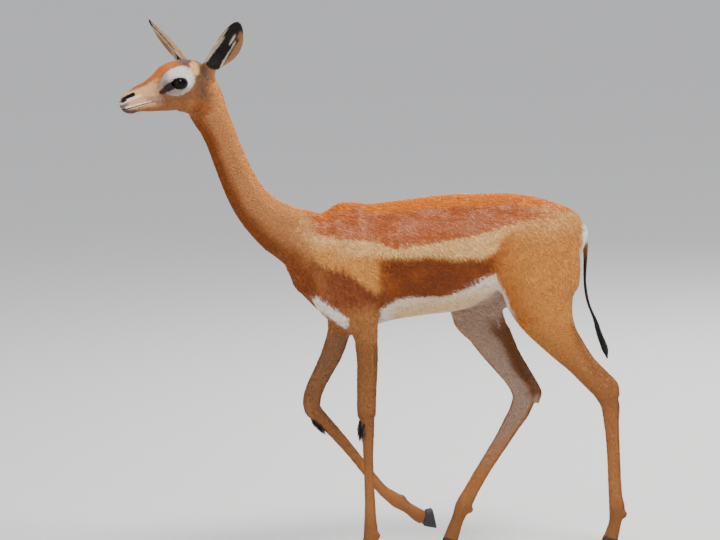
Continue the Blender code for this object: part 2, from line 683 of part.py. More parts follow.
def thin_out(obj, triangles):
    """Fewer triangles on the same shape."""
    count = sum(len(p.vertices) - 2 for p in obj.data.polygons)
    decimate = obj.modifiers.new("fewer", "DECIMATE")
    decimate.ratio = min(1.0, triangles / count)
    decimate.use_collapse_triangulate = True
    apply_modifiers(obj)


def cut(obj, cutters, solver="MANIFOLD"):
    """The object less all that the cutters hold."""
    boolean = obj.modifiers.new("cut", "BOOLEAN")
    boolean.operation = "DIFFERENCE"
    boolean.solver = solver
    boolean.object = cutters
    apply_modifiers(obj)


def join(obj, others, solver="MANIFOLD"):
    """One body of the object and all in the collection, which is then emptied."""
    boolean = obj.modifiers.new("join", "BOOLEAN")
    boolean.operation = "UNION"
    boolean.operand_type = "COLLECTION"
    boolean.solver = solver
    boolean.collection = others
    apply_modifiers(obj)
    for other in list(others.objects):
        bpy.data.objects.remove(other, do_unlink=True)


def build_body(parts, cutters):
    """Neck, torso and legs, parted from one body of flesh."""
    knives = build_knives(cutters)
    flesh = blended(
        "flesh",
        add_body_flesh,
        FLESH_VOXEL,
        [("broad", 40, on_the_trunk), ("all_over", 3, everywhere)],
        parts,
    )
    thin_out(flesh, BODY_TRIANGLES)
    cut(flesh, knives)
    part_body(flesh, parts)
    bpy.data.objects.remove(flesh, do_unlink=True)


def keep_largest(obj):
    """Only the object's largest closed surface stays."""
    bm, parts = loose_parts(obj)
    for part in parts[1:]:
        bmesh.ops.delete(bm, geom=list(part), context="VERTS")
    bm.to_mesh(obj.data)
    bm.free()


def add_prism(bm, centre, axis, up, half_sizes, near, far, sides=24, place=None, almond=0.0):
    """A straight bar from near to far along its axis, round or with pointed ends across."""
    axis = axis.normalized()
    across = (up.cross(axis)).normalized()
    up = axis.cross(across)
    loops = []
    for reach in (near, far):
        loop = []
        for j in range(sides):
            angle = math.tau * j / sides
            wide = half_sizes[0] * math.cos(angle)
            high = half_sizes[1] * math.sin(angle) * abs(math.sin(angle)) ** almond
            loop.append(centre + axis * reach + across * wide + up * high)
        loops.append([place @ p for p in loop] if place else loop)
    add_flat_rings(bm, loops)


def build_eyes(place, parts, cutters):
    """An eyeball on each side, and the cutter that makes room for it and opens the lids."""
    sockets = bmesh.new()
    openings = bmesh.new()
    for side in SIDES:
        centre = mirrored(EYE_PLACE, side)
        axis = mirrored(EYE_AXIS, side)
        ball = bmesh.new()
        stand = place @ Matrix.Translation(centre)
        bmesh.ops.create_uvsphere(ball, u_segments=20, v_segments=12, radius=EYE_RADIUS, matrix=stand)
        eye = object_of(f"eye_{side}", ball, parts)
        eye.data.materials.append(material("eye", 0.08))
        room = EYE_RADIUS + GAP
        bmesh.ops.create_uvsphere(sockets, u_segments=28, v_segments=16, radius=room, matrix=stand)
        add_prism(openings, centre, axis, UP, EYE_OPENING, 0.0, 0.045, place=place, almond=EYE_ALMOND)
    cutter_of("sockets", sockets, cutters)
    cutter_of("openings", openings, cutters)


def add_ribbon(bm, points, half_height, reach, place):
    """A thin plate that follows points in the head's middle plane, to cut the line of the mouth."""
    for side in SIDES:
        sign = 1 if side == "left" else -1
        rows = spline([(x, z) for x, z in points], 3)
        loops = []
        for i, (x, z) in enumerate(rows):
            ahead = rows[min(i + 1, len(rows) - 1)] - rows[max(i - 1, 0)]
            normal = Vector((-ahead[1], 0, ahead[0])).normalized() * half_height
            inner, outer = Vector((x, reach[0] * sign, z)), Vector((x, reach[1] * sign, z))
            loop = [inner - normal, outer - normal, outer + normal, inner + normal]
            loops.append([place @ p for p in loop])
        add_domed_rings(bm, loops)


def build_nose_cutters(place, cutters):
    """Cutters for the comma of each nostril and for the line between the lips."""
    bm = bmesh.new()
    slant = Matrix.Rotation(math.radians(NOSTRIL_SLOPE_DEG), 3, "Y") @ UP
    for side in SIDES:
        centre = mirrored(NOSTRIL_PLACE, side)
        axis = mirrored(NOSTRIL_AXIS, side)
        add_prism(bm, centre, axis, slant, NOSTRIL_HALF_SIZES, -NOSTRIL_DEPTH, 0.02, 16, place)
    add_ribbon(bm, MOUTH_LINE, MOUTH_HALF_OPENING, MOUTH_REACH, place)
    cutter_of("nostrils_and_mouth", bm, cutters)


def ear_ring(t):
    """The ear at share t of its length: its half width, and how deep its back and its inner face lie."""
    wide = EAR_HALF_WIDTH * np.interp(t, EAR_SHARES, EAR_WIDTHS)
    back = np.interp(t, EAR_SHARES, EAR_BACKS)
    inner = np.interp(t, EAR_SHARES, EAR_INNERS)
    return wide, back, inner


def build_ear(side, place, parts):
    """A cupped leaf, thick where it stands on the head and thin at its rim."""
    aim = mirrored(EAR_AIM[side].normalized(), side)
    face = mirrored(EAR_FACE[side], side)
    face = (face - aim * face.dot(aim)).normalized()
    across = aim.cross(face)
    root = mirrored(EAR_ROOT[side], side) + aim * (EAR_STANDS_OFF[side] + GAP)
    bow = across * EAR_BOW[side][1] - face * EAR_BOW[side][0]
    loops = []
    for step in range(EAR_STEPS + 1):
        t = step / EAR_STEPS
        wide, back, inner = ear_ring(t)
        middle = root + aim * (t * EAR_LENGTH) + bow * math.sin(math.pi * t)
        shares = np.linspace(-1, 1, EAR_ACROSS)
        rim = min(EAR_RIM, wide * 0.3)
        loop = [middle + across * (wide * s) - face * (back * (1 - s * s)) for s in shares]
        for s in shares[::-1]:
            loop.append(middle + across * ((wide - rim) * s) - face * (inner * (1 - s * s) - 0.4 * rim))
        loops.append([place @ p for p in loop])
    bm = bmesh.new()
    add_flat_rings(bm, loops)
    ear = object_of(f"ear_{side}", bm, parts)
    ear.data.materials.append(material("coat"))


def build_head(parts, cutters):
    """The head with its eyeballs and ears, finer than the body and cut from its own flesh."""
    place = head_frame()

    def add_flesh(bm):
        add_loft(bm, NECK[-6:], NECK_FRONT)
        add_head_flesh(bm, place)

    head = blended("head", add_flesh, HEAD_VOXEL, [("all_over", 12, everywhere)], parts)
    thin_out(head, HEAD_TRIANGLES)
    build_eyes(place, parts, cutters)
    build_nose_cutters(place, cutters)
    bm = bmesh.new()
    add_knife(bm, *HEAD_CUT)
    for side in SIDES:
        aim = mirrored(EAR_AIM[side].normalized(), side)
        root = mirrored(EAR_ROOT[side], side) + aim * EAR_STANDS_OFF[side]
        add_prism(bm, root, aim, UP, (EAR_CUT_RADIUS, EAR_CUT_RADIUS), 0.0, 0.035, place=place)
    cut(head, cutter_of("head_knife", bm, cutters))
    keep_nearest(head, place @ Vector((0.12, 0, 0)))
    for name in ("sockets", "openings", "nostrils_and_mouth"):
        cut(head, bpy.data.objects[name])
    keep_largest(head)
    head.data.materials.append(material("coat"))
    for side in SIDES:
        build_ear(side, place, parts)


def keep_nearest(obj, point):
    """Only the large closed surface that is nearest the point stays."""
    bm, parts = loose_parts(obj)

    def distance(part):
        middle = sum((v.co for v in part), Vector()) / len(part)
        return (middle - point).length + (0 if len(part) > 200 else 1)

    kept = min(parts, key=distance)
    for part in parts:
        if part is not kept:
            bmesh.ops.delete(bm, geom=list(part), context="VERTS")
    bm.to_mesh(obj.data)
    bm.free()


def lock_loops(path, widths, thick, out, sides=5):
    """Loops of one lock of hair: flat, tapered to its tip, and bent along its path."""
    loops = []
    for i, (point, wide) in enumerate(zip(path, widths)):
        along = (path[min(i + 1, len(path) - 1)] - path[max(i - 1, 0)]).normalized()
        across = along.cross(out).normalized()
        lift = across.cross(along)
        loop = []
        for j in range(sides):
            angle = math.tau * j / sides
            deep = min(thick, wide) * math.sin(angle)
            loop.append(point + across * (wide * math.cos(angle)) + lift * deep)
        loops.append(loop)
    return loops


def add_lock(collection, root, aim, droop, out, kind):
    """A lock from its root, lifted along out at the middle and drawn towards droop at the tip."""
    path, widths = [], []
    for t in np.linspace(0, 1, LOCK_RINGS):
        lift = out * (kind.bend * math.sin(math.pi * min(1, 0.25 + t)))
        forwards = aim * (kind.length * t * (1 - 0.35 * t))
        path.append(root + forwards + droop * (kind.length * 0.35 * t * t) + lift)
        widths.append(kind.wide * float(np.interp(t, (0, 0.3, 0.7, 1), (0.75, 1.0, 0.65, 0.12))))
    bm = bmesh.new()
    add_flat_rings(bm, lock_loops(path, widths, kind.wide * LOCK_THICKNESS_SHARE, out))
    object_of("lock", bm, collection)


def build_brush(side, locks):
    """The short stiff locks on the front of the leg, just below the knee."""
    top, bottom, out = BRUSHES[side]
    down = (bottom - top).normalized()
    across = down.cross(out).normalized()
    for i in range(BRUSH_LOCKS):
        share = i / (BRUSH_LOCKS - 1)
        offset = BRUSH_ROWS[i % len(BRUSH_ROWS)]
        root = top.lerp(bottom, share) + across * offset - out * (0.006 + abs(offset) * 0.4)
        aim = (down + out * 0.55 + across * offset * 30).normalized()
        add_lock(locks, root, aim, down, out, BRUSH_LOCK)
    join(bpy.data.objects[f"front_{side}_shank"], locks)


def build_tail(parts, locks):
    """The bare length of the tail, and the tuft of locks on its end."""
    bm = bmesh.new()
    start = TAIL_CUT_POINT + TAIL_CUT_NORMAL * GAP
    rows = [ring(start.x, start.z, 0.0095, 0.0095)] + TAIL[1:]
    loops = loft_loops(rows, TAIL_FRONT, 1, 14, 3)
    for loop in loops[:2]:
        for p in loop:
            p -= TAIL_CUT_NORMAL * min(0, (p - start).dot(TAIL_CUT_NORMAL))
    add_flat_rings(bm, loops)
    tail = object_of("tail", bm, parts)
    tail.data.materials.append(material("coat"))
    bm = bmesh.new()
    add_flat_rings(bm, loft_loops(TUFT, TAIL_FRONT, 1, 12, 2))
    tuft = object_of("tail_tuft", bm, parts)
    tuft.data.materials.append(material("dark hair"))
    spine = spline(TUFT, 4)
    for i in range(TUFT_LOCKS):
        share = 0.10 + 0.62 * i / (TUFT_LOCKS - 1)
        at = share * (len(spine) - 1)
        here = Vector(spine[int(at)][:3])
        ahead = Vector(spine[min(int(at) + 1, len(spine) - 1)][:3])
        along = (ahead - here).normalized()
        angle = i * TURN_BETWEEN_LOCKS
        side = along.cross(Vector((0, 1, 0))).normalized()
        out = (side * math.sin(angle) + Vector((0, 1, 0)) * math.cos(angle)).normalized()
        root = here + along * ((at % 1) * (ahead - here).length) + out * (spine[int(at)][3] * 0.35)
        add_lock(locks, root, (along + out * 0.12).normalized(), along, out, TUFT_LOCK)
    join(tuft, locks)


def claw_loops(frame, outwards):
    """Loops of one claw from its flat sole up to the slope of the coronet."""
    rise = math.tan(math.radians(CORONET_SLOPE_DEG))
    coronet = (CORONET_POINT - CORONET_NORMAL * GAP).z
    loops = []
    for t in np.linspace(0, 1, 5):
        half_length = HOOF_LENGTH / 2 * (1 - 0.30 * t)
        loop = []
        for j in range(CLAW_SIDES):
            c, s = math.cos(math.tau * j / CLAW_SIDES), math.sin(math.tau * j / CLAW_SIDES)
            to_toe = max(c, 0)
            x = half_length * c - 0.0075 * t
            middle = outwards * (CLAW_HALF_WIDTH + 0.0008 + 0.0012 * to_toe)
            y = CLAW_HALF_WIDTH * s * (1 - 0.42 * to_toe**1.5) + middle
            top = coronet + (x - CORONET_POINT.x) * rise
            loop.append(frame @ Vector((x, y, t * top)))
        loops.append(loop)
    return loops


def build_claws(parts):
    """Two claws on each foot."""
    for foot_name, foot in FEET.items():
        frame = foot_frame(foot)
        for claw_name, across in (("outer", -1), ("inner", 1)):
            outwards = across * (-1 if foot.y < 0 else 1)
            bm = bmesh.new()
            add_flat_rings(bm, claw_loops(frame, outwards))
            claw = object_of(f"{foot_name}_claw_{claw_name}", bm, parts)
            claw.data.materials.append(material("hoof", 0.5))


def centre_over_origin(parts):
    """Moves the whole animal so that the middle of its box stands over the origin."""
    corners = np.concatenate([points_of(obj) for obj in parts.objects])
    middle = (corners.min(axis=0) + corners.max(axis=0)) / 2
    for obj in parts.objects:
        obj.data.transform(Matrix.Translation((-middle[0], -middle[1], 0)))


def main():
    """Builds every node and stands the animal over the origin."""
    clear_scene()
    parts = new_collection("gerenuk")
    cutters = new_collection("cutters")
    build_body(parts, cutters)
    build_head(parts, cutters)
    locks = new_collection("locks")
    build_tail(parts, locks)
    for side in SIDES:
        build_brush(side, locks)
    build_claws(parts)
    centre_over_origin(parts)


main()
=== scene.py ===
"""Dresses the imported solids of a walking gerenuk.

It makes one skin, a short coat, eyes with lids, claws and long hair.
"""

import math

import bmesh
import bpy
import numpy as np
from bpy.props import FloatProperty, FloatVectorProperty, PointerProperty
from mathutils import Matrix, Vector
from mathutils.bvhtree import BVHTree
from mathutils.kdtree import KDTree


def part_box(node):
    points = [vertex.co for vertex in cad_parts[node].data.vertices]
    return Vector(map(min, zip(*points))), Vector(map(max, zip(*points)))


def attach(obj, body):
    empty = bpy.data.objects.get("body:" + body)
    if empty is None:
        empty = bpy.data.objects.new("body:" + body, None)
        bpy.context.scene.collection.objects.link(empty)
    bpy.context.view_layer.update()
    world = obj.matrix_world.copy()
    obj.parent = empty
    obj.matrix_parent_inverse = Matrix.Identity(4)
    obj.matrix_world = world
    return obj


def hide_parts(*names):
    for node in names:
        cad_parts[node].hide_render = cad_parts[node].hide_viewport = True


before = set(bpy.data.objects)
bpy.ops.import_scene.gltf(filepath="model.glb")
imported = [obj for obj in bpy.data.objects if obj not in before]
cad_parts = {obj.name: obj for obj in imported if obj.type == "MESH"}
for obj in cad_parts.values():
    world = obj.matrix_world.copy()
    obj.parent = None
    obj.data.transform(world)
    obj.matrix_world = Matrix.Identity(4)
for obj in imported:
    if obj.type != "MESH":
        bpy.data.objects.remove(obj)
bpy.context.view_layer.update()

bl_info = {
    "name": "Gerenuk dressing",
    "version": (1, 0, 0),
    "blender": (4, 5, 0),
    "location": "3D View > Sidebar > Gerenuk",
    "description": "Skin, coat, eyes, claws and stage for a walking gerenuk",
    "category": "Object",
}

# The solids by the part of the body that they stand for
LEGS = {
    "front_left": ("front_left_forearm", "front_left_shank"),
    "front_right": ("front_right_forearm", "front_right_shank"),
    "hind_left": ("hind_left_thigh", "hind_left_shank"),
    "hind_right": ("hind_right_thigh", "hind_right_shank"),
}
EARS = ("ear_left", "ear_right")
FLESH = ("head", "neck", "torso", "tail") + tuple(name for pair in LEGS.values() for name in pair)
PARTS = FLESH + EARS
CLAWS = tuple(f"{foot}_claw_{place}" for foot in LEGS for place in ("inner", "outer"))

# Places on the body, in metres in the frame, nose towards -X and the animal's left towards -Y
MIDLINE_Y = sum((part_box("torso")[0].y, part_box("torso")[1].y)) / 2
HEAD_ORIGIN = Vector((-0.3912, MIDLINE_Y, 1.241))
HEAD_TURN = math.radians(10)
NOSE = Vector((-math.cos(HEAD_TURN), -math.sin(HEAD_TURN), 0))
HEAD_LEFT = Vector((-NOSE.y, NOSE.x, 0))
EYE_PLACE = Vector((0.0905, 0.0295, 0.0195))
EYE_AXIS = Vector((0.30, 1.0, 0.10)).normalized()
EYE_RADIUS = 0.0176
LID_OPENING = (0.0162, 0.0108)
NOSTRIL_LINE = ((0.2345, -0.0170), (0.2240, -0.0095), (0.2060, -0.0015))
NOSTRIL_HALF_WIDTH = 0.0042
MOUTH_LINE = ((0.2395, -0.0390), (0.224, -0.0370), (0.205, -0.0335), (0.182, -0.0285), (0.155, -0.0240))
NECK_TOP = Vector((-0.345, MIDLINE_Y, 1.175))
NECK_FOOT = Vector((-0.200, MIDLINE_Y, 0.880))
DEWCLAWS = ((-0.024, MIDLINE_Y - 0.061, 0.073), (0.618, MIDLINE_Y - 0.068, 0.085),
            (0.240, MIDLINE_Y + 0.070, 0.098), (0.066, MIDLINE_Y + 0.070, 0.141))
KNEE_BRUSHES = {
    "left": (Vector((-0.0380, -0.063, 0.385)), Vector((-0.0372, -0.063, 0.318)), 0.0212, 0.0156),
    "right": (Vector((-0.1567, 0.072, 0.386)), Vector((-0.1097, 0.072, 0.331)), 0.0222, 0.0164),
}

# Lines that bound the markings on the flank, as heights at distances along the body
SADDLE_EDGE = (
    (-0.165, 0.866), (-0.112, 0.848), (-0.036, 0.838), (0.010, 0.831), (0.050, 0.819), (0.099, 0.821),
    (0.176, 0.832), (0.255, 0.839), (0.310, 0.847), (0.350, 0.859), (0.400, 0.866), (0.480, 0.868),
)
BAND_EDGE = (
    (-0.165, 0.800), (0.010, 0.799), (0.059, 0.791), (0.110, 0.793), (0.161, 0.790), (0.186, 0.784),
    (0.237, 0.780), (0.280, 0.781), (0.300, 0.792), (0.318, 0.820), (0.350, 0.838), (0.430, 0.855),
)
FLANK_TOP = 0.792
BELLY_EDGE = (
    (-0.010, 0.655), (0.014, 0.663), (0.031, 0.678), (0.046, 0.685), (0.069, 0.688), (0.159, 0.686),
    (0.185, 0.689), (0.211, 0.696), (0.231, 0.702), (0.250, 0.711), (0.281, 0.730), (0.300, 0.738),
)
# The shoulder's ragged edge, above dark brown that is partly painted shade
SHOULDER_EDGE = (
    (-0.250, 0.845), (-0.203, 0.811), (-0.183, 0.790), (-0.161, 0.808), (-0.141, 0.786),
    (-0.110, 0.773), (-0.068, 0.760), (-0.038, 0.727), (0.004, 0.702),
)
GROIN_EDGE = ((0.206, 0.634), (0.251, 0.651), (0.296, 0.681), (0.315, 0.702))
BRISKET_MARK = ((-0.158, 0.688), (-0.132, 0.669), (-0.090, 0.636))

# Lines where each thigh meets the flank, and the far hind leg's rear edge: distances along at heights
LEFT_FOLD = ((0.500, 0.401), (0.735, 0.302), (0.800, 0.302))
RIGHT_FOLD = ((0.600, 0.212), (0.700, 0.236), (0.735, 0.300), (0.800, 0.302))
RIGHT_HOCK_EDGE = ((0.380, 0.440), (0.410, 0.433), (0.560, 0.347), (0.620, 0.312))

# Lines that bound the markings of the head, along the nose and up
FOREHEAD_EDGE = (
    (0.060, 0.068), (0.077, 0.067), (0.110, 0.054), (0.143, 0.035), (0.170, 0.018), (0.215, 0.004),
)
TEAR_MARK = ((0.102, 0.0195), (0.115, 0.0130), (0.128, 0.0056), (0.139, -0.0008))
TEAR_HALF_WIDTH = ((0.106, 0.0095), (0.128, 0.0080), (0.140, 0.0042))
# Painted shadow along the side of the muzzle
MUZZLE_SHADOW = ((0.140, -0.020), (0.168, -0.0160))
UPPER_LIP = ((0.2370, -0.0240), (0.2150, -0.0140), (0.1890, -0.0050))
LIP_EDGE = ((0.2260, -0.0335), (0.2000, -0.0290), (0.1640, -0.0240))

# Ovals on the head: middle along the nose and up, then half-sizes
EYE_RING = (0.0925, 0.0255, 0.0450, 0.0345)
EYE_RING_LEAN = (0.91, 0.42)
LID_PATCH = (EYE_PLACE.x, EYE_PLACE.z, 0.0205, 0.0140)
BARE_EYE = (EYE_PLACE.x, EYE_PLACE.z, 0.0185, 0.0125)
# Painted shade at the rear corner of the jaw
JAW_CORNER_SHADE = (0.034, -0.050, 0.030, 0.026)
POLL_PATCH = (0.046, 0.054, 0.012, 0.018)
EAR_ROOT_PATCH = (0.024, 0.046, 0.012, 0.016)
BEHIND_EAR_PATCH = (0.008, 0.034, 0.018, 0.014)

# Pale streaks in the cup of each ear: how far across, how wide, and from where to where along it
EAR_STREAKS = {
    "ear_left": (
        (-0.48, 0.08, -0.20, 0.66), (-0.62, 0.03, 0.30, 0.84),
        (0.68, 0.04, 0.12, 0.70), (0.34, 0.05, 0.50, 0.80),
    ),
    "ear_right": ((-0.62, 0.10, 0.00, 0.97), (0.62, 0.10, 0.00, 0.97), (0.0, 0.20, 0.55, 0.95)),
}

# The way the cup of each ear opens, where along it the dark tip starts, and half its width
EAR_OPENINGS = {"ear_left": (0.55, 0.85, -0.25), "ear_right": (1.0, 0.05, -0.35)}
EAR_TIPS = {"ear_left": 0.86, "ear_right": 0.94}
EAR_HALF_WIDTH = 0.030

# How the hair lies: a place, the way the hair points there, and the length of a tuft there
LIE_STROKES = (
    ((-0.12, 0.01, 0.915), (1.0, 0.10, -0.25), 0.012),
    ((-0.02, 0.02, 0.915), (1.0, 0.15, -0.15), 0.012),
    ((0.12, 0.02, 0.930), (1.0, 0.15, -0.12), 0.013),
    ((0.28, 0.02, 0.930), (1.0, 0.15, -0.12), 0.013),
    ((0.40, 0.02, 0.915), (1.0, 0.10, -0.40), 0.012),
    ((0.51, 0.02, 0.860), (0.45, 0.05, -1.0), 0.010),
    ((-0.08, 0.07, 0.870), (0.75, 0.10, -0.62), 0.013),
    ((0.08, 0.09, 0.870), (0.80, 0.10, -0.58), 0.014),
    ((0.24, 0.09, 0.880), (0.80, 0.10, -0.55), 0.014),
    ((0.36, 0.08, 0.890), (0.85, 0.05, -0.45), 0.012),
    ((0.05, 0.10, 0.805), (0.55, 0.00, -0.85), 0.015),
    ((0.20, 0.10, 0.800), (0.55, 0.00, -0.85), 0.015),
    ((0.08, 0.10, 0.730), (0.80, -0.10, -0.60), 0.011),
    ((0.22, 0.10, 0.740), (0.80, -0.10, -0.55), 0.011),
    ((-0.12, 0.08, 0.800), (0.35, 0.05, -0.95), 0.012),
    ((-0.03, 0.09, 0.780), (0.45, 0.05, -0.90), 0.013),
    ((-0.10, 0.08, 0.700), (0.35, 0.00, -0.95), 0.010),
    ((-0.02, 0.09, 0.700), (0.45, 0.00, -0.90), 0.010),
    ((-0.19, 0.03, 0.740), (0.45, 0.30, -0.85), 0.010),
    ((-0.12, 0.02, 0.650), (0.90, 0.20, -0.35), 0.009),
    ((0.05, 0.02, 0.640), (1.0, 0.10, 0.0), 0.009),
    ((0.22, 0.02, 0.660), (1.0, 0.10, 0.10), 0.009),
    ((0.36, 0.08, 0.810), (0.70, 0.05, -0.70), 0.011),
    ((0.48, 0.07, 0.810), (0.60, 0.00, -0.80), 0.010),
    ((0.36, 0.09, 0.700), (0.35, 0.00, -0.95), 0.010),
    ((0.47, 0.07, 0.690), (0.35, 0.00, -0.95), 0.010),
    ((0.30, 0.03, 0.680), (0.60, 0.00, -0.80), 0.009),
    ((0.50, 0.02, 0.720), (0.10, 0.15, -1.0), 0.009),
)
HEAD_STROKES = (
    ((0.232, 0.000, -0.010), (-0.6, 0.25, 0.60), 0.0020),
    ((0.235, 0.000, -0.034), (-0.5, 0.60, 0.00), 0.0020),
    ((0.200, 0.015, -0.020), (-1.0, 0.15, 0.02), 0.0028),
    ((0.200, 0.000, 0.004), (-1.0, 0.10, 0.05), 0.0028),
    ((0.200, 0.005, -0.046), (-1.0, 0.20, 0.02), 0.0028),
    ((0.150, 0.022, -0.010), (-1.0, 0.10, -0.05), 0.0042),
    ((0.150, 0.000, 0.022), (-1.0, 0.05, 0.20), 0.0042),
    ((0.120, 0.028, -0.020), (-1.0, 0.10, -0.25), 0.0050),
    ((0.125, 0.012, 0.036), (-1.0, 0.20, 0.30), 0.0050),
    ((0.090, 0.030, 0.046), (-1.0, 0.10, 0.45), 0.0050),
    ((0.085, 0.034, -0.005), (-1.0, 0.10, -0.30), 0.0050),
    ((0.050, 0.034, 0.010), (-1.0, 0.05, -0.35), 0.0060),
    ((0.060, 0.010, 0.060), (-1.0, 0.15, 0.20), 0.0060),
    ((0.060, 0.025, -0.040), (-1.0, 0.10, -0.45), 0.0070),
    ((0.000, 0.030, 0.000), (-0.7, 0.05, -0.75), 0.0075),
    ((0.020, 0.010, 0.060), (-1.0, 0.10, -0.10), 0.0070),
    ((-0.010, 0.000, 0.045), (-0.8, 0.05, -0.60), 0.0080),
)

# Tuft lengths at the root and at the end of each kind of part
TUFT_LENGTHS = {
    "forearm": (0.010, 0.007), "thigh": (0.010, 0.007), "shank": (0.007, 0.005),
    "neck": (0.009, 0.009), "other": (0.005, 0.004),
}

# Tufts: across against along, how far each stands off, and how many grow on each part
TUFT_WIDTH_SHARE = 0.115
TUFT_RISE_SHARE = 0.075
TUFT_ROOT_DEPTH = 0.0005
TUFT_MIDDLE = 0.42
PATCH = 0.003
TUFTS = {
    "coat_head": (("head",), 30000),
    "coat_ears": (EARS, 14000),
    "coat_neck": (("neck",), 27000),
    "coat_trunk_left": (("torso", "tail"), 32000),
    "coat_trunk_right": (("torso", "tail"), 32000),
    "coat_forelegs": (LEGS["front_left"] + LEGS["front_right"], 24000),
    "coat_left_hindleg": (LEGS["hind_left"], 20000),
    "coat_right_hindleg": (LEGS["hind_right"], 20000),
}

# One in this many of a solid's vertices is looked at when the solid nearest to a point is sought
CLOUD_STEP = 3

# The end of each pastern: how far it is drawn on to its claws, over which length, and how it is found
PASTERN_DRAWN = 0.0048
PASTERN_EASED = (0.024, 0.005)
PASTERN_END = 0.03

# Numbers of faces round a lid and an eyeball, and of long locks
LID_SIDES = 72
EYE_SIDES = 72
EYE_RINGS = 48
LASHES_PER_EYE = 34
LOCKS_PER_EAR_STREAK = 70
TAIL_LOCKS = 480
BRUSH_LOCKS = 230

# The long lens that the pose was read through
LENS_MM = 235.3
SENSOR_MM = 36.0
CAMERA_AIM = Vector((-0.030, 0.0, 0.752))
CAMERA_AZIMUTH = math.radians(-8)
CAMERA_ELEVATION = math.radians(8)
CAMERA_ROLL = math.radians(2.5)
CAMERA_DISTANCE = 12.0


def head_point(place, side=1):
    """A place given along the nose, to the animal's left and up, as a place in the frame."""
    return HEAD_ORIGIN + NOSE * place[0] + HEAD_LEFT * (place[1] * side) + Vector((0, 0, place[2]))


def head_way(way, side=1):
    """A way given along the nose, to the animal's left and up, as a way in the frame."""
    return head_point(way, side) - HEAD_ORIGIN


def linear(colour):
    """A colour as a screen shows it, as the linear one that shaders use."""
    colour = np.asarray(colour, float)
    return np.where(colour <= 0.04045, colour / 12.92, ((colour + 0.055) / 1.055) ** 2.4)


def step(value, low, high):
    """0 below low, 1 above high, and smooth between; low may be the greater one."""
    t = np.clip((value - low) / (high - low), 0, 1)
    return t * t * (3 - 2 * t)


def line_height(line, x):
    """The height of a line of points at each x."""
    xs, zs = zip(*line)
    return np.interp(x, xs, zs)


def tint(name):
    """A named colour of the panel, as shaders use it."""
    return linear(getattr(bpy.context.scene.gerenuk_colours, name))


def unit(vectors):
    """The same ways, each of length 1."""
    return vectors / np.maximum(np.linalg.norm(vectors, axis=-1, keepdims=True), 1e-9)


def dot(a, b):
    """How far each way of one list runs along the same one of the other."""
    return (a * b).sum(-1)


def wobble(points, scale, seed):
    """A smooth uneven value between about -1 and 1 at each point, so that no edge is a ruled line."""
    draw = np.random.default_rng(seed)
    total = np.zeros(len(points))
    for octave in range(5):
        ways = draw.normal(size=(3, 3)) * scale * 1.6 ** octave
        total += np.prod(np.sin(points @ ways + draw.uniform(0, 6.28, 3)), axis=1) / 1.3 ** octave
    return total


class Wire:
    """A socket of a shader tree; arithmetic on it adds Math nodes."""

    def __init__(self, maker, socket):
        self.maker = maker
        self.socket = socket

    def math(self, operation, *values):
        return self.maker.node("ShaderNodeMath", {"operation": operation}, values)

    def __add__(self, other):
        return self.math("ADD", self, other)

    def __radd__(self, other):
        return self.math("ADD", other, self)

    def __sub__(self, other):
        return self.math("SUBTRACT", self, other)

    def __rsub__(self, other):
        return self.math("SUBTRACT", other, self)

    def __mul__(self, other):
        return self.math("MULTIPLY", self, other)

    def __rmul__(self, other):
        return self.math("MULTIPLY", other, self)

    def __truediv__(self, other):
        return self.math("DIVIDE", self, other)

    def __pow__(self, other):
        return self.math("POWER", self, other)


class Finish:
    """A material with a Principled shader, and one method that adds any other node."""

    def __init__(self, name, **constants):
        self.material = bpy.data.materials.new(name)
        self.material.use_nodes = True
        self.tree = self.material.node_tree
        self.shader = next(n for n in self.tree.nodes if n.type == "BSDF_PRINCIPLED")
        for socket, value in constants.items():
            self.shader.inputs[socket.replace("_", " ").title().replace("Ior", "IOR")].default_value = value

    def node(self, kind, settings=None, values=(), out=0):
        """A node of that kind: its settings are set first, then its sockets, by place or by name."""
        made = self.tree.nodes.new(kind)
        for key, value in (settings or {}).items():
            if key == "stops":
                ramp = made.color_ramp
                ramp.elements[0].position, ramp.elements[0].color = value[0]
                ramp.elements[1].position, ramp.elements[1].color = value[-1]
                for place, colour in value[1:-1]:
                    ramp.elements.new(place).color = colour
            else:
                setattr(made, key, value)
        pairs = values.items() if isinstance(values, dict) else enumerate(values)
        for key, value in pairs:
            if isinstance(value, Wire):
                self.tree.links.new(value.socket, made.inputs[key])
            else:
                made.inputs[key].default_value = value
        return Wire(self, made.outputs[out])

    def feed(self, socket, wire):
        self.tree.links.new(wire.socket, self.shader.inputs[socket])

    def attribute(self, name, out="Color"):
        return self.node("ShaderNodeAttribute", {"attribute_name": name}, out=out)

    def place(self):
        return self.node("ShaderNodeTexCoord", out="Object")

    def noise(self, scale, detail=3.0, vector=None):
        values = {"Vector": vector or self.place(), "Scale": scale, "Detail": detail}
        return self.node("ShaderNodeTexNoise", {}, values)

    def tinted(self, colour, shade):
        """The colour made lighter or darker by a value around 1."""
        grey = self.node("ShaderNodeCombineXYZ", {}, (shade, shade, shade))
        return self.node("ShaderNodeVectorMath", {"operation": "MULTIPLY"}, (colour, grey))

    def bump(self, height, distance, strength=1.0):
        values = {"Strength": strength, "Distance": distance, "Height": height}
        self.feed("Normal", self.node("ShaderNodeBump", {}, values))


def hide_finish():
    """Short flat hair over the skin: the coat's colours, finely mottled, with a fine bump."""
    finish = Finish("short_hair", roughness=0.62, specular_ior_level=0.22,
                    sheen_weight=0.05, sheen_roughness=0.45)
    fine = finish.noise(420.0, 4.0)
    broad = finish.noise(38.0, 3.0)
    shade = 0.58 + fine * 0.34 + broad * 0.16
    finish.feed("Base Color", finish.tinted(finish.attribute("coat"), shade))
    finish.feed("Roughness", 0.54 + fine * 0.22)
    finish.bump(fine + finish.noise(1100.0, 2.0) * 0.6, 0.0009, 0.6)
    return finish.material


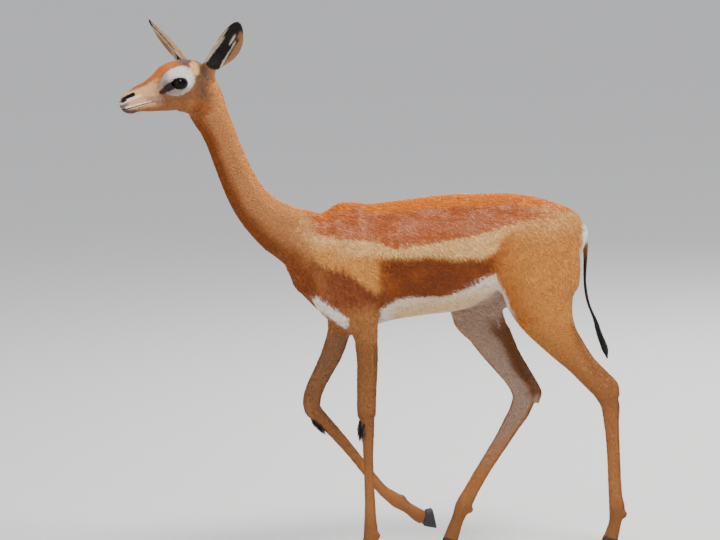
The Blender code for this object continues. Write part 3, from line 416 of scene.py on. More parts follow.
def tuft_finish(name="hair_tufts", roughness=0.50):
    """Tufts of hair: the colour each was given, a little streaked."""
    finish = Finish(name, roughness=roughness, specular_ior_level=0.25,
                    sheen_weight=0.04, sheen_roughness=0.40)
    streak = finish.noise(700.0, 2.0)
    finish.feed("Base Color", finish.tinted(finish.attribute("coat"), 0.86 + streak * 0.28))
    finish.feed("Roughness", roughness - 0.08 + streak * 0.18)
    return finish.material


def eye_finish():
    """A dark brown eye with a wide level pupil under a clear wet surface."""
    finish = Finish("eye", roughness=0.06, coat_weight=0.14, coat_roughness=0.02, specular_ior_level=0.05)
    across = finish.attribute("eye_across", "Fac")
    up = finish.attribute("eye_up", "Fac")
    pupil = (across / 0.0085) ** 2.0 + (up / 0.0042) ** 2.0
    rim = ((across ** 2.0) + (up ** 2.0)) ** 0.5
    fibres = finish.noise(900.0, 4.0)
    iris = finish.node("ShaderNodeValToRGB", {"stops": (
        (0.0, (0.003, 0.002, 0.002, 1)),
        (0.50, (0.007, 0.003, 0.002, 1)),
        (0.75, (0.004, 0.002, 0.002, 1)),
        (1.0, (0.002, 0.001, 0.001, 1)))}, (rim / 0.0145 + fibres * 0.12,))
    inside = finish.node("ShaderNodeMath", {"operation": "SUBTRACT", "use_clamp": True}, (1.6, pupil))
    dark = (0.002, 0.002, 0.003, 1)
    mixed = finish.node("ShaderNodeMix", {"data_type": "RGBA"}, {0: inside, 6: iris, 7: dark}, out=2)
    finish.feed("Base Color", mixed)
    return finish.material


def lid_finish():
    """Bare black skin, fine-grained and slightly moist."""
    finish = Finish("bare_dark_skin", roughness=0.55, specular_ior_level=0.08)
    grain = finish.noise(1500.0, 3.0)
    finish.feed("Base Color", finish.tinted(finish.attribute("coat"), 0.75 + grain * 0.5))
    finish.feed("Roughness", 0.45 + grain * 0.20)
    finish.bump(grain, 0.0004, 0.5)
    return finish.material


def claw_finish():
    """Dark horn with growth rings round the claw and fine grain down it, worn paler at the ground."""
    finish = Finish("claw_horn", roughness=0.42, specular_ior_level=0.45)
    place = finish.place()
    height = finish.node("ShaderNodeSeparateXYZ", {}, (place,), out=2)
    warped = height * 1500.0 + finish.noise(60.0, 2.0, place) * 9.0
    rings = warped.math("SINE", warped)
    fine = finish.node("ShaderNodeMapping", {}, {"Vector": place, "Scale": (6, 6, 1)})
    grain = finish.noise(260.0, 4.0, fine)
    worn = finish.node("ShaderNodeMath", {"operation": "MAXIMUM"}, (1.0 - height * 90.0, 0.0))
    shade = 0.70 + grain * 0.45 + rings * 0.06
    horn, pale = (tuple(tint(name)) + (1,) for name in ("horn", "worn_horn"))
    mixed = finish.node("ShaderNodeMix", {"data_type": "RGBA"}, {0: worn * 0.7, 6: horn, 7: pale}, out=2)
    finish.feed("Base Color", finish.tinted(mixed, shade))
    finish.feed("Roughness", 0.34 + grain * 0.25)
    finish.bump(rings * 0.35 + grain * 0.65, 0.0006, 0.6)
    return finish.material


def floor_finish():
    """A pale, slightly speckled floor."""
    finish = Finish("pale_floor", roughness=0.85)
    speck = finish.noise(90.0, 3.0)
    pale = finish.node("ShaderNodeRGB")
    pale.socket.default_value = (0.74, 0.72, 0.69, 1)
    finish.feed("Base Color", finish.tinted(pale, 0.97 + speck * 0.06))
    return finish.material


def deselect_all():
    """Leave nothing selected."""
    for obj in bpy.context.selected_objects:
        obj.select_set(False)


def make_active(obj):
    """Select one object alone and make it the active one."""
    deselect_all()
    obj.select_set(True)
    bpy.context.view_layer.objects.active = obj


def apply_modifier(obj, kind, **settings):
    """Add a modifier of that kind and apply it at once."""
    make_active(obj)
    modifier = obj.modifiers.new(kind.lower(), kind)
    for key, value in settings.items():
        setattr(modifier, key, value)
    bpy.ops.object.modifier_apply(modifier=modifier.name)


def edit_whole_mesh(obj, operator, **settings):
    """One of Blender's own mesh operators run on all of an object's faces."""
    make_active(obj)
    bpy.ops.object.mode_set(mode="EDIT")
    bpy.ops.mesh.select_all(action="SELECT")
    operator(**settings)
    bpy.ops.object.mode_set(mode="OBJECT")


def copies_of(names, title):
    """One object that holds merged copies of the named solids."""
    deselect_all()
    made = []
    for name in names:
        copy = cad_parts[name].copy()
        copy.data = copy.data.copy()
        copy.parent = None
        for key in list(copy.keys()):
            del copy[key]
        bpy.context.scene.collection.objects.link(copy)
        made.append(copy)
    for copy in made:
        copy.select_set(True)
    bpy.context.view_layer.objects.active = made[0]
    if len(made) > 1:
        bpy.ops.object.join()
    obj = bpy.context.view_layer.objects.active
    obj.name = title
    obj.data.name = title
    obj.data.materials.clear()
    obj.data.polygons.foreach_set("material_index", np.zeros(len(obj.data.polygons), np.int32))
    edit_whole_mesh(obj, bpy.ops.mesh.remove_doubles, threshold=0.00001)
    return obj


def swollen_copies(names, title, swell, grain):
    """Copies of the named solids, swollen a little so that they join, and meshed anew as one."""
    obj = copies_of(names, title)
    apply_modifier(obj, "DISPLACE", strength=swell, mid_level=0.0)
    apply_modifier(obj, "REMESH", mode="VOXEL", voxel_size=grain)
    return obj


def points_of(mesh):
    """The places of a mesh's vertices."""
    points = np.empty(len(mesh.vertices) * 3, np.float32)
    mesh.vertices.foreach_get("co", points)
    return points.reshape(-1, 3).astype(float)


def normals_of(mesh):
    """The outward ways at a mesh's vertices."""
    normals = np.empty(len(mesh.vertices) * 3, np.float32)
    mesh.vertex_normals.foreach_get("vector", normals)
    return normals.reshape(-1, 3).astype(float)


def set_points(mesh, points):
    """Move a mesh's vertices to these places."""
    mesh.vertices.foreach_set("co", np.asarray(points, np.float32).ravel())
    mesh.update()


def edges_of(mesh):
    """The two vertices of each edge."""
    edges = np.empty(len(mesh.edges) * 2, np.int32)
    mesh.edges.foreach_get("vertices", edges)
    return edges.reshape(-1, 2)


def triangles_of(mesh):
    """The three vertices of each triangle."""
    mesh.calc_loop_triangles()
    triangles = np.empty(len(mesh.loop_triangles) * 3, np.int32)
    mesh.loop_triangles.foreach_get("vertices", triangles)
    return triangles.reshape(-1, 3)


def relax(points, edges, weights, turns):
    """Each point drawn towards its neighbours' middle by a weight, one for all or one each."""
    weights = np.broadcast_to(weights, len(points))[:, None]
    count = np.bincount(edges.ravel(), minlength=len(points))[:, None]
    for _ in range(turns):
        total = np.zeros_like(points)
        for axis in range(3):
            total[:, axis] = np.bincount(edges[:, 0], points[edges[:, 1], axis], len(points))
            total[:, axis] += np.bincount(edges[:, 1], points[edges[:, 0], axis], len(points))
        points = points + (total / np.maximum(count, 1) - points) * weights
    return points


def set_colours(mesh, colours):
    """Give each vertex the colour that the shaders read as "coat"."""
    layer = mesh.color_attributes.new("coat", "FLOAT_COLOR", "POINT")
    rows = np.ones((len(mesh.vertices), 4), np.float32)
    rows[:, :3] = colours
    layer.data.foreach_set("color", rows.ravel())


def smooth_shaded(mesh):
    """Shade every face of a mesh smooth."""
    mesh.polygons.foreach_set("use_smooth", np.ones(len(mesh.polygons), bool))


def mesh_object(name, points, faces, material, smooth=True):
    """An object from arrays of points and equal-sided faces."""
    mesh = bpy.data.meshes.new(name)
    sides = faces.shape[1]
    mesh.vertices.add(len(points))
    mesh.vertices.foreach_set("co", np.asarray(points, np.float32).ravel())
    mesh.loops.add(faces.size)
    mesh.loops.foreach_set("vertex_index", faces.astype(np.int32).ravel())
    mesh.polygons.add(len(faces))
    mesh.polygons.foreach_set("loop_start", np.arange(0, faces.size, sides, dtype=np.int32))
    mesh.update(calc_edges=True)
    if smooth:
        smooth_shaded(mesh)
    mesh.materials.append(material)
    obj = bpy.data.objects.new(name, mesh)
    bpy.context.scene.collection.objects.link(obj)
    return obj


def set_unwrap(mesh, corners, faces):
    """The places of a mesh's faces on a flat unwrap, the layer named OFBake."""
    layer = mesh.uv_layers.new(name="OFBake")
    layer.data.foreach_set("uv", corners[faces.ravel()].astype(np.float32).ravel())


def nearest_parts(points):
    """For each point the place in PARTS of the solid it lies nearest to."""
    clouds = [points_of(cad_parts[name].data)[::CLOUD_STEP] for name in PARTS]
    tree = KDTree(sum(len(cloud) for cloud in clouds))
    owner = []
    for part, cloud in enumerate(clouds):
        for point in cloud:
            tree.insert(point, len(owner))
            owner.append(part)
    tree.balance()
    return np.array([owner[tree.find(point)[1]] for point in points])


def lies_on(parts, *names):
    """Whether each of some places in PARTS is one of the named solids."""
    return np.isin(parts, [PARTS.index(name) for name in names])


def axis_of(names):
    """Middle, direction and half-length of the long axis of some solids, from root to tip."""
    cloud = np.concatenate([points_of(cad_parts[name].data) for name in names])
    middle = (cloud.max(0) + cloud.min(0)) / 2
    way = np.linalg.svd(cloud - cloud.mean(0), full_matrices=False)[2][0]
    if names[0] in EARS:
        way = way * np.sign(way[2])
    elif names[0] in ("head", "torso"):
        way = way * np.sign(way[0])
    else:
        way = -way * np.sign(way[2])
    return middle, way, np.abs((cloud - middle) @ way).max()


def stations(name, count=6):
    """Centres of slices across a solid, and the way from each to the next."""
    cloud = points_of(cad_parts[name].data)
    middle, way = axis_of((name,))[:2]
    along = (cloud - middle) @ way
    cuts = np.linspace(along.min(), along.max(), count + 1)
    slices = [cloud[(along >= a) & (along <= b)] for a, b in zip(cuts, cuts[1:])]
    centres = np.array([(piece.max(0) + piece.min(0)) / 2 for piece in slices if len(piece)])
    ways = np.gradient(centres, axis=0)
    return centres, unit(ways)


def lie_table():
    """Places, directions and tuft lengths over the whole body."""
    rows = []
    for (x, y, z), (dx, dy, dz), length in LIE_STROKES:
        for side in (-1, 1):
            rows.append(((x, MIDLINE_Y + y * side, z), (dx, dy * side, dz), length))
    for place, way, length in HEAD_STROKES:
        for side in (-1, 1):
            rows.append((tuple(head_point(place, side)), tuple(head_way(way, side)), length))
    for name in PARTS:
        if name in ("head", "torso"):
            continue
        centres, ways = stations(name)
        first, last = TUFT_LENGTHS.get(name.split("_")[-1], TUFT_LENGTHS["other"])
        for share, centre, way in zip(np.linspace(0, 1, len(centres)), centres, ways):
            rows.append((tuple(centre), tuple(way), first + (last - first) * share))
    places, ways, lengths = (np.array(column) for column in zip(*rows))
    return places, unit(ways), lengths


def lie_at(points, normals, table):
    """Direction of the hair in the surface, and tuft length, at each point."""
    places, ways, lengths = table
    direction = np.zeros_like(points)
    length = np.zeros(len(points))
    for start in range(0, len(points), 20000):
        part = slice(start, start + 20000)
        apart = np.linalg.norm(points[part, None, :] - places[None], axis=2)
        weight = 1 / (apart ** 4 + 1e-9)
        weight /= weight.sum(1, keepdims=True)
        direction[part] = weight @ ways
        length[part] = weight @ lengths
    direction -= normals * dot(direction, normals)[:, None]
    return unit(direction), length


def head_coordinates(points):
    """Along the nose, out from the middle of the head, and up."""
    local = points - np.array(HEAD_ORIGIN)
    return local @ np.array(NOSE), np.abs(local @ np.array(HEAD_LEFT)), local[:, 2]


def head_share(along, up, end=0.04):
    """1 on the head, falling to 0 where it joins the neck."""
    return step(along, 0.0, end) * step(up, -0.12, -0.10)


class Paint:
    """Colours at many points, laid on through masks that run from 0 to 1."""

    def __init__(self, base, count):
        self.rows = np.tile(tint(base), (count, 1))

    def over(self, colour, *masks):
        """Lay a named colour or another Paint over these, as far as all the masks let it."""
        rows = colour.rows if isinstance(colour, Paint) else tint(colour)
        share = np.clip(math.prod(masks), 0, 1)[:, None]
        self.rows = self.rows + (rows - self.rows) * share


class Places:
    """Points of the coat, with the measures that the markings are drawn by."""

    def __init__(self, points, normals, parts):
        self.points, self.normals, self.parts = points, normals, parts
        self.x, self.z = points[:, 0], points[:, 2]
        self.y = points[:, 1] - MIDLINE_Y
        self.wide = np.abs(self.y)
        self.inward = -normals[:, 1] * np.sign(self.y)
        self.rough = wobble(points, 75, 1) * 0.004 + wobble(points, 300, 2) * 0.002

    def on(self, *names):
        """Whether each point lies on one of the named solids."""
        return lies_on(self.parts, *names)


def near_line(a, b, line):
    """Distance of the points (a, b) from an open line of points."""
    best = np.full(len(a), 9.0)
    for (a0, b0), (a1, b1) in zip(line, line[1:]):
        run = np.array((a1 - a0, b1 - b0))
        share = np.clip(((a - a0) * run[0] + (b - b0) * run[1]) / (run @ run), 0, 1)
        best = np.minimum(best, np.hypot(a - a0 - share * run[0], b - b0 - share * run[1]))
    return best


def oval(a, b, shape, lean=(1.0, 0.0)):
    """0 in the middle of an oval and 1 on its rim; it may lean, by its long side's direction."""
    ahead, above = a - shape[0], b - shape[1]
    long = ahead * lean[0] - above * lean[1]
    short = ahead * lean[1] + above * lean[0]
    return np.hypot(long / shape[2], short / shape[3])


def head_paint(points):
    """The markings of the head, with painted shade on cheek, temple, jaw corner and muzzle, and how far
    they take the place of the neck's.
    """
    along, out, up = head_coordinates(points)
    rough = wobble(points, 160, 3) * 0.0012
    streak = wobble(points * (1, 1, 2), 420, 4) * 0.0010
    beside = step(out, 0.010, 0.016)
    edge = line_height(FOREHEAD_EDGE, along)
    # The cheek's brown, deepened with painted shade
    face = Paint("cheek", len(points))
    face.over("muzzle", step(along + rough * 6, 0.125, 0.165))
    face.over("jaw", step(up + along * 0.10 + rough * 3, -0.010, -0.028))
    # Painted shade behind the eye and under the ear
    face.over("temple_shade", step(along + rough * 6 - up * 0.25, 0.056, 0.028), step(up, -0.050, -0.020), 0.9)
    # Painted shade at the rear corner of the jaw, in the throat's dark brown
    face.over("throat", step(oval(along, up, JAW_CORNER_SHADE) + rough * 60, 1.25, 0.45), 0.85)
    face.over("forehead", step(up + rough + streak, edge - 0.002, edge + 0.004), step(along, 0.222, 0.195))
    face.over("nose_top", step(up, edge - 0.002, edge + 0.004), step(along, 0.130, 0.175), 0.75)
    face.over("ear_back", step(along, 0.062, 0.050), step(up, 0.030, 0.045), 0.6)
    # A white ring round the eye, grey in front and below
    ring = oval(along, up, EYE_RING, EYE_RING_LEAN) + (rough + streak) * 22
    pale = step(ring, 1.06, 0.90) * step(out, 0.012, 0.020) * step(up + rough, edge + 0.002, edge - 0.002)
    face.over("eye_ring", pale)
    low = np.maximum(step(up, 0.017, 0.004), step(along - up * 0.3, 0.098, 0.114))
    face.over("eye_ring_low", pale, low, 0.85)
    face.over("crown", pale, step(along, 0.102, 0.122), step(up, 0.034, 0.020), 0.65)
    # Painted shadow along the muzzle, in the lip's grey
    face.over("lip", step(near_line(along, up, MUZZLE_SHADOW) + rough * 3, 0.011, 0.003), 0.50)
    # Grey, cream and black round the roots of the ears
    face.over("crown", step(up + rough, 0.062, 0.070), step(along + rough * 2, 0.094, 0.080),
              step(along, 0.026, 0.036), 0.85)
    face.over("band", step(oval(along, up, POLL_PATCH) + rough * 30, 1.15, 0.80))
    face.over("dark", step(oval(along, up, EAR_ROOT_PATCH) + streak * 60, 1.3, 0.6), 0.6)
    face.over("crown", step(oval(along, up, BEHIND_EAR_PATCH) + streak * 60, 1.3, 0.7), 0.7)
    # Black from the lids down to the tear mark
    reach = line_height(TEAR_HALF_WIDTH, along)
    tear = near_line(along, up, TEAR_MARK) + rough
    face.over("dark", step(tear, reach + 0.0018, reach - 0.0012), beside, 0.96)
    face.over("dark", step(oval(along, up, LID_PATCH), 1.14, 1.00), beside)
    # Lips, chin and nostrils
    face.over("lip", step(along + rough, 0.214, 0.226), step(up, -0.008, -0.014), 0.9)
    face.over("chin", step(up + rough, -0.037, -0.042), step(along, 0.180, 0.205), 0.9)
    for line in (UPPER_LIP, LIP_EDGE):
        face.over("white", step(near_line(along, up, line) + streak, 0.0034, 0.0018), 0.95)
    face.over("dark", step(near_line(along, up, MOUTH_LINE), 0.0014, 0.0007))
    nostril = near_line(along, up, NOSTRIL_LINE) + streak * 0.5 - NOSTRIL_HALF_WIDTH
    face.over("dark", step(nostril, 0.0012, 0.0), step(out, 0.001, 0.004))
    return face, step(along + rough * 4, -0.010, 0.034)


def ear_facing(name):
    """The way the cup of an ear opens, square to its long axis."""
    way = axis_of((name,))[1]
    facing = np.array(head_way(EAR_OPENINGS[name], 1 if name == "ear_left" else -1))
    return unit(facing - way * (facing @ way))


def ear_coordinates(points, name):
    """Each point's share of the way along an ear, and how far across it the point lies."""
    middle, way, reach = axis_of((name,))
    across_way = np.cross(way, ear_facing(name))
    return ((points - middle) @ way / reach + 1) / 2, (points - middle) @ across_way / EAR_HALF_WIDTH


def streak_middle(lane, t):
    """How far across an ear a streak of pale hair lies, at share t of the way along."""
    return lane * (1.15 - 0.4 * t)


def ear_paint(points, normals, name):
    """A dark cup with pale streaks and dun edges, a dun back and a dark tip."""
    t, across = ear_coordinates(points, name)
    rough = wobble(points, 260, 8) * 0.05
    tip = EAR_TIPS[name]
    cup = Paint("ear_inside", len(points))
    cup.over("ear_back", step(across + rough, -0.55, -0.70))
    cup.over("ear_back", step(across + rough, 0.74, 0.90))
    cup.over("ear_back", step(across - rough, 0.36, 0.60), step(t, 0.66, 0.78), 0.8)
    for lane, wide, low, high in EAR_STREAKS[name]:
        near = np.abs(across - streak_middle(lane, t) + rough)
        ends = step(t, low, low + 0.12) * step(t, high, high - 0.12)
        cup.over("cream", step(near, wide + 0.05, wide), ends, 0.70)
    cup.over("dark", step(t, tip - 0.02, tip + 0.06), 0.9)
    ear = Paint("ear_back", len(points))
    ear.over("dark", step(t, tip, tip + 0.08), 0.8)
    ear.over(cup, step(normals @ ear_facing(name), 0.05, 0.30))
    return ear


def neck_paint(at):
    """The neck: tan at the side, brown in front deepened with painted shade, and a painted highlight of
    orange behind.
    """
    way = unit(np.array(NECK_FOOT - NECK_TOP))
    facing = at.normals @ unit(np.array((way[2], 0, -way[0])))
    neck = Paint("neck_side", len(facing))
    # Dark brown on the front of the neck, partly painted shade
    neck.over("throat", step(facing + at.rough * 12, 0.05, 0.62))
    # Painted highlight: orange on the back of the neck where light falls
    neck.over("nape", step(facing + at.rough * 8, -0.15, -0.70))
    return neck


def shoulder_paint(at):
    """The shoulder: golden above a ragged edge, and below it dark brown deepened with painted shade."""
    comb = wobble(at.points * (1, 1, 0.25), 150, 9) * 0.006
    edge = line_height(SHOULDER_EDGE, at.x)
    shoulder = Paint("shoulder", len(edge))
    shoulder.over("band", step(at.z + at.rough, 0.815, 0.840), 0.8)
    # Dark brown under the ragged edge, partly painted shade
    shoulder.over("shaded_lower_shoulder", step(at.z + comb + at.rough, edge + 0.010, edge - 0.012))
    shoulder.over("leg", step(at.z, 0.690, 0.640))
    return shoulder


def saddle_paint(at):
    """The saddle: red brown with rosy hair tips in patches, partly a painted sheen."""
    bloom = wobble(at.points, 22, 6) * 0.6 + wobble(at.points * (0.5, 1, 1), 95, 7) * 0.5
    saddle = Paint("saddle", len(bloom))
    saddle.over("saddle_tips_and_sheen", step(bloom, -0.60, 0.90), 0.80)
    return saddle


def trunk_paint(at):
    """The markings of neck, shoulder, flank, back and belly, with painted shade, highlights and floor light
    among them.
    """
    x, z, rough = at.x, at.z, at.rough
    saddle_z, band_z, belly_z = (line_height(line, x) for line in (SADDLE_EDGE, BAND_EDGE, BELLY_EDGE))
    fold = np.where(at.y < 0, line_height(LEFT_FOLD, z), line_height(RIGHT_FOLD, z))
    trunk = Paint("haunch", len(x))
    trunk.over(shoulder_paint(at), step(x + rough * 0.5, 0.020, 0.008))
    # Painted shade in brown on the front of the thigh
    thigh = step(x - fold, 0.085, 0.005) * step(fold - x, 0.006, -0.002)
    trunk.over("flank_light", thigh, step(z + rough, 0.835, 0.800), step(at.wide, 0.055, 0.075), 0.60)
    # Dark brown flank between the pale band and the belly, deepened with painted shade
    flank = step(z + rough, np.minimum(band_z, FLANK_TOP) + 0.008, band_z - 0.012)
    flank *= step(x, -0.005, 0.015) * step(x + rough, 0.312, 0.294)
    flank *= 1 - step(z, belly_z + 0.003, belly_z - 0.003) * step(x, fold - 0.004, fold + 0.006)
    trunk.over("flank", flank)
    trunk.over("flank_light", flank, step(wobble(at.points, 30, 5), 0.1, 0.6), 0.35)
    # Pale band under the saddle
    band = step(z + rough, band_z - 0.006, band_z + 0.010)
    band *= step(z + rough * 0.5, saddle_z + 0.003, saddle_z - 0.002)
    trunk.over("band", band, step(x + rough * 3, 0.440, 0.300), step(x, -0.130, -0.030))
    # Painted sunlight on the top of the rump, in the band's colour
    trunk.over("band", step(z + rough * 2, 0.790, 0.875), step(x, 0.340, 0.430), 0.40)
    # Saddle, and a painted highlight in orange where the back faces up along the spine
    above = step(z + rough * 0.5, saddle_z - 0.002, saddle_z + 0.004)
    above *= step(x + z * 0.4, 0.170, 0.215) * step(x + (z - 0.86) * 0.9, 0.500, 0.400)
    trunk.over(saddle_paint(at), above)
    spine = step(at.normals[:, 2] + rough * 6, 0.66, 0.88)
    trunk.over("spine", spine, step(z, 0.86, 0.88), step(x, -0.22, -0.12))
    trunk.over(neck_paint(at), step(x + (z - 0.88) * 0.16 + rough, -0.135, -0.205))
    lay_white(trunk, at, belly_z, fold)
    return trunk


def lay_white(trunk, at, belly_z, fold):
    """White belly, brisket and rump, thin grey hair in the groin deepened with painted shade, and painted
    warm light from the floor under the belly.
    """
    x, z, wide, rough, top = at.x, at.z, at.wide, at.rough, at.normals[:, 2]
    inner = np.where(at.y < 0, step(wide, 0.078, 0.066), step(at.inward + rough * 6, -0.05, 0.35))
    edge = line_height(GROIN_EDGE, x)
    groin = step(z + rough, edge + 0.003, edge - 0.007) * step(x, 0.195, 0.215) * step(x, 0.500, 0.440)
    groin *= np.where(at.y < 0, step(wide, 0.074, 0.068), inner)
    trunk.over("inner_leg", groin)
    belly = step(z + rough * 0.4, belly_z + 0.003, belly_z - 0.003) * step(x, 0.000, 0.014)
    belly *= np.maximum(step(x + rough, fold + 0.006, fold - 0.004), inner * step(x, 0.460, 0.400))
    taper = 0.015 * step(wide + rough, 0.008, 0.046)
    brisket = step(near_line(x, z, BRISKET_MARK) + rough, taper, taper - 0.005) * step(wide, 0.010, 0.020)
    under = step(top, -0.70, -0.88) * step(x, -0.080, -0.040) * step(z, 0.72, 0.70)
    half_width = 0.036 - 0.022 * ((z - 0.765) / 0.085) ** 2
    rump = step(wide + rough * 1.5, half_width + 0.006, half_width - 0.008)
    rump *= step(x + (0.80 - z) * 0.1, 0.496, 0.516) * step(z, 0.850, 0.825)
    white = np.maximum.reduce((belly, brisket, under)) * (1 - groin)
    white = np.maximum(white, rump)
    trunk.over("white", white)
    # Painted light thrown up from the floor: the band's warm colour on the white where it faces down
    trunk.over("band", white, step(top, -0.20, -0.75), step(x, 0.02, 0.05), 0.75)


def leg_paint(at, hind):
    """Legs tan outside, paler inside the thighs, darker at knees and hocks, with painted shade on the
    middle of the forelegs.
    """
    z, rough, inward, rearward = at.z, at.rough, at.inward, at.normals[:, 0]
    leg = Paint("leg", len(z))
    leg.over("haunch", hind, step(z, 0.42, 0.60))
    leg.over("leg_dark", step(z + rough, 0.150, 0.085), 0.55)
    leg.over("leg_dark", step(np.abs(z - 0.390), 0.05, 0.0), step(inward, 0.5, -0.2), 0.25)
    leg.over("leg_dark", step(rearward + rough * 8, 0.30, 0.75), step(z, 0.66, 0.56), 0.5)
    # Grey inside the hind legs, partly painted shade
    leg.over("inner_leg", hind, step(inward + rough * 8, 0.25, 0.62), step(z, 0.16, 0.40),
             step(rearward - inward * 0.1 + rough * 6, 0.42, 0.10), 0.95)
    # The dark rear edge inside the far hind leg
    rear = line_height(RIGHT_HOCK_EDGE, z) - at.x
    leg.over("leg_dark", hind & (at.y > 0), step(rear + rough * 2, 0.050, 0.018), step(z, 0.375, 0.400),
             step(z, 0.620, 0.560), step(inward + rough * 6, -0.65, -0.15), 0.90)
    leg.over("inner_leg", ~hind, step(inward + rough * 8, 0.45, 0.80), step(z, 0.30, 0.55), 0.30)
    # Painted shade on the middle of the forelegs
    leg.over("leg_dark", ~hind, step(z, 0.620, 0.540), step(z, 0.200, 0.290), 0.30)
    for place in DEWCLAWS:
        apart = np.linalg.norm(at.points - np.array(place), axis=1)
        leg.over("dark", step(apart, 0.0125, 0.0085), 0.9)
    return leg


def tail_paint(at):
    """The tail: white at its root, then brown, then black."""
    tail = Paint("leg_dark", len(at.z))
    tail.over("white", np.maximum(step(at.z, 0.785, 0.795), step(at.wide, 0.009, 0.013)))
    tail.over("dark", step(at.z + at.rough, 0.765, 0.740))
    tail.over("inner_leg", step(at.normals[:, 0], 0.55, 0.85), step(at.z, 0.66, 0.70),
              step(at.wide, 0.012, 0.008), 0.7)
    return tail


def coat_colours(points, normals, parts):
    """The coat's colour at each point, shared by skin and tufts."""
    at = Places(points, normals, parts)
    coat = trunk_paint(at)
    hind = at.on(*LEGS["hind_left"], *LEGS["hind_right"])
    legs = leg_paint(at, hind)
    coat.over(legs, hind)
    coat.over(legs, at.on(*LEGS["front_left"], *LEGS["front_right"]), step(at.z, 0.66, 0.58))
    coat.over(tail_paint(at), at.on("tail"))
    coat.over(*head_paint(points), at.on("head"))
    for name in EARS:
        if at.on(name).any():
            coat.over(ear_paint(points, normals, name), at.on(name))
    grey = coat.rows.mean(1, keepdims=True)
    richness = bpy.context.scene.gerenuk_sizes.richness
    return np.clip(grey + (coat.rows - grey) * richness, 0.002, 0.9)


def pare(points, start, end, start_radius, end_radius):
    """Points near a length of limb drawn in to its radius, so that nothing stands off it."""
    start, end = np.array(start), np.array(end)
    run = end - start
    share = (points - start) @ run / (run @ run)
    foot = start + np.clip(share, 0, 1)[:, None] * run
    away = points - foot
    apart = np.linalg.norm(away, axis=1)
    radius = start_radius + (end_radius - start_radius) * np.clip(share, 0, 1)
    far = (share > 0) & (share < 1) & (apart > radius) & (apart < 0.06)
    points[far] = foot[far] + away[far] * (radius / np.maximum(apart, 1e-6))[far, None]
    return points


def coat_depth_at(points, parts, depth):
    """How far the skin lies inside the solids: least on the face, ears and feet."""
    share = np.full(len(points), 0.45)
    for names, deep in ((("torso",), 1.0), (("neck",), 0.75), (("head",), 0.22), (EARS, 0.06)):
        share[lies_on(parts, *names)] = deep
    share *= step(points[:, 2], 0.020, 0.120) * 0.8 + 0.2
    return share * depth


def meet_claws(points, parts):
    """The end of each pastern drawn on into its claws, so that no gap shows above them."""
    for foot, names in LEGS.items():
        corners = [corner for place in ("inner", "outer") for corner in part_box(f"{foot}_claw_{place}")]
        claws = np.mean([np.array(corner) for corner in corners], axis=0)
        mine = np.flatnonzero(lies_on(parts, names[1]))
        apart = np.linalg.norm(points[mine] - claws, axis=1)
        way = unit(claws - points[mine[apart < apart.min() + PASTERN_END]].mean(0))
        along = points[mine] @ way
        share = step(along, along.max() - PASTERN_EASED[0], along.max() - PASTERN_EASED[1])
        points[mine] += way * (PASTERN_DRAWN * share)[:, None]
    return points


def press_nostrils(points, normals):
    """The nostrils pressed in, with a slight wing round each."""
    along, out, up = head_coordinates(points)
    apart = near_line(along, up, NOSTRIL_LINE) / NOSTRIL_HALF_WIDTH
    wing = np.exp(-((apart - 1.35) / 0.40) ** 2) * 0.0009
    hollow = step(apart, 1.05, 0.35) * 0.0046
    return points + normals * ((wing - hollow) * step(out, 0.001, 0.005))[:, None]


def press_mouth(points, normals):
    """The line of the mouth pressed in between slightly raised lips."""
    along, _, up = head_coordinates(points)
    apart = near_line(along, up, MOUTH_LINE)
    groove = np.exp(-(apart / 0.0012) ** 2) * 0.0018
    lips = np.exp(-((apart - 0.0032) / 0.0018) ** 2) * 0.0006
    return points + normals * (lips - groove)[:, None] * step(along, 0.145, 0.160)[:, None]


def refine_face(mesh):
    """Split the edges round mouth, nostrils and eyes once."""
    points, ends = points_of(mesh), edges_of(mesh)
    along, out, up = head_coordinates((points[ends[:, 0]] + points[ends[:, 1]]) / 2)
    long = np.linalg.norm(points[ends[:, 0]] - points[ends[:, 1]], axis=1) > 0.0011
    fine = near_line(along, up, MOUTH_LINE) < 0.007
    fine |= near_line(along, up, NOSTRIL_LINE) < 0.009
    fine |= (np.hypot(along - EYE_PLACE.x, up - EYE_PLACE.z) < 0.028) & (out > 0.015)
    fine &= long & (up > -0.12)
    bm = bmesh.new()
    bm.from_mesh(mesh)
    bm.edges.ensure_lookup_table()
    face_edges = [bm.edges[k] for k in np.flatnonzero(fine)]
    bmesh.ops.subdivide_edges(bm, edges=face_edges, cuts=1, use_grid_fill=True)
    bmesh.ops.triangulate(bm, faces=bm.faces)
    bm.to_mesh(mesh)
    bm.free()
    mesh.update()


def finish_face(mesh):
    """Finer faces round muzzle and eyes, smoothed, with nostrils and mouth pressed in."""
    refine_face(mesh)
    points = points_of(mesh)
    along, _, up = head_coordinates(points)
    set_points(mesh, relax(points, edges_of(mesh), head_share(along, up, 0.03) * 0.5, 3))
    for press in (press_nostrils, press_mouth):
        set_points(mesh, press(points_of(mesh), normals_of(mesh)))


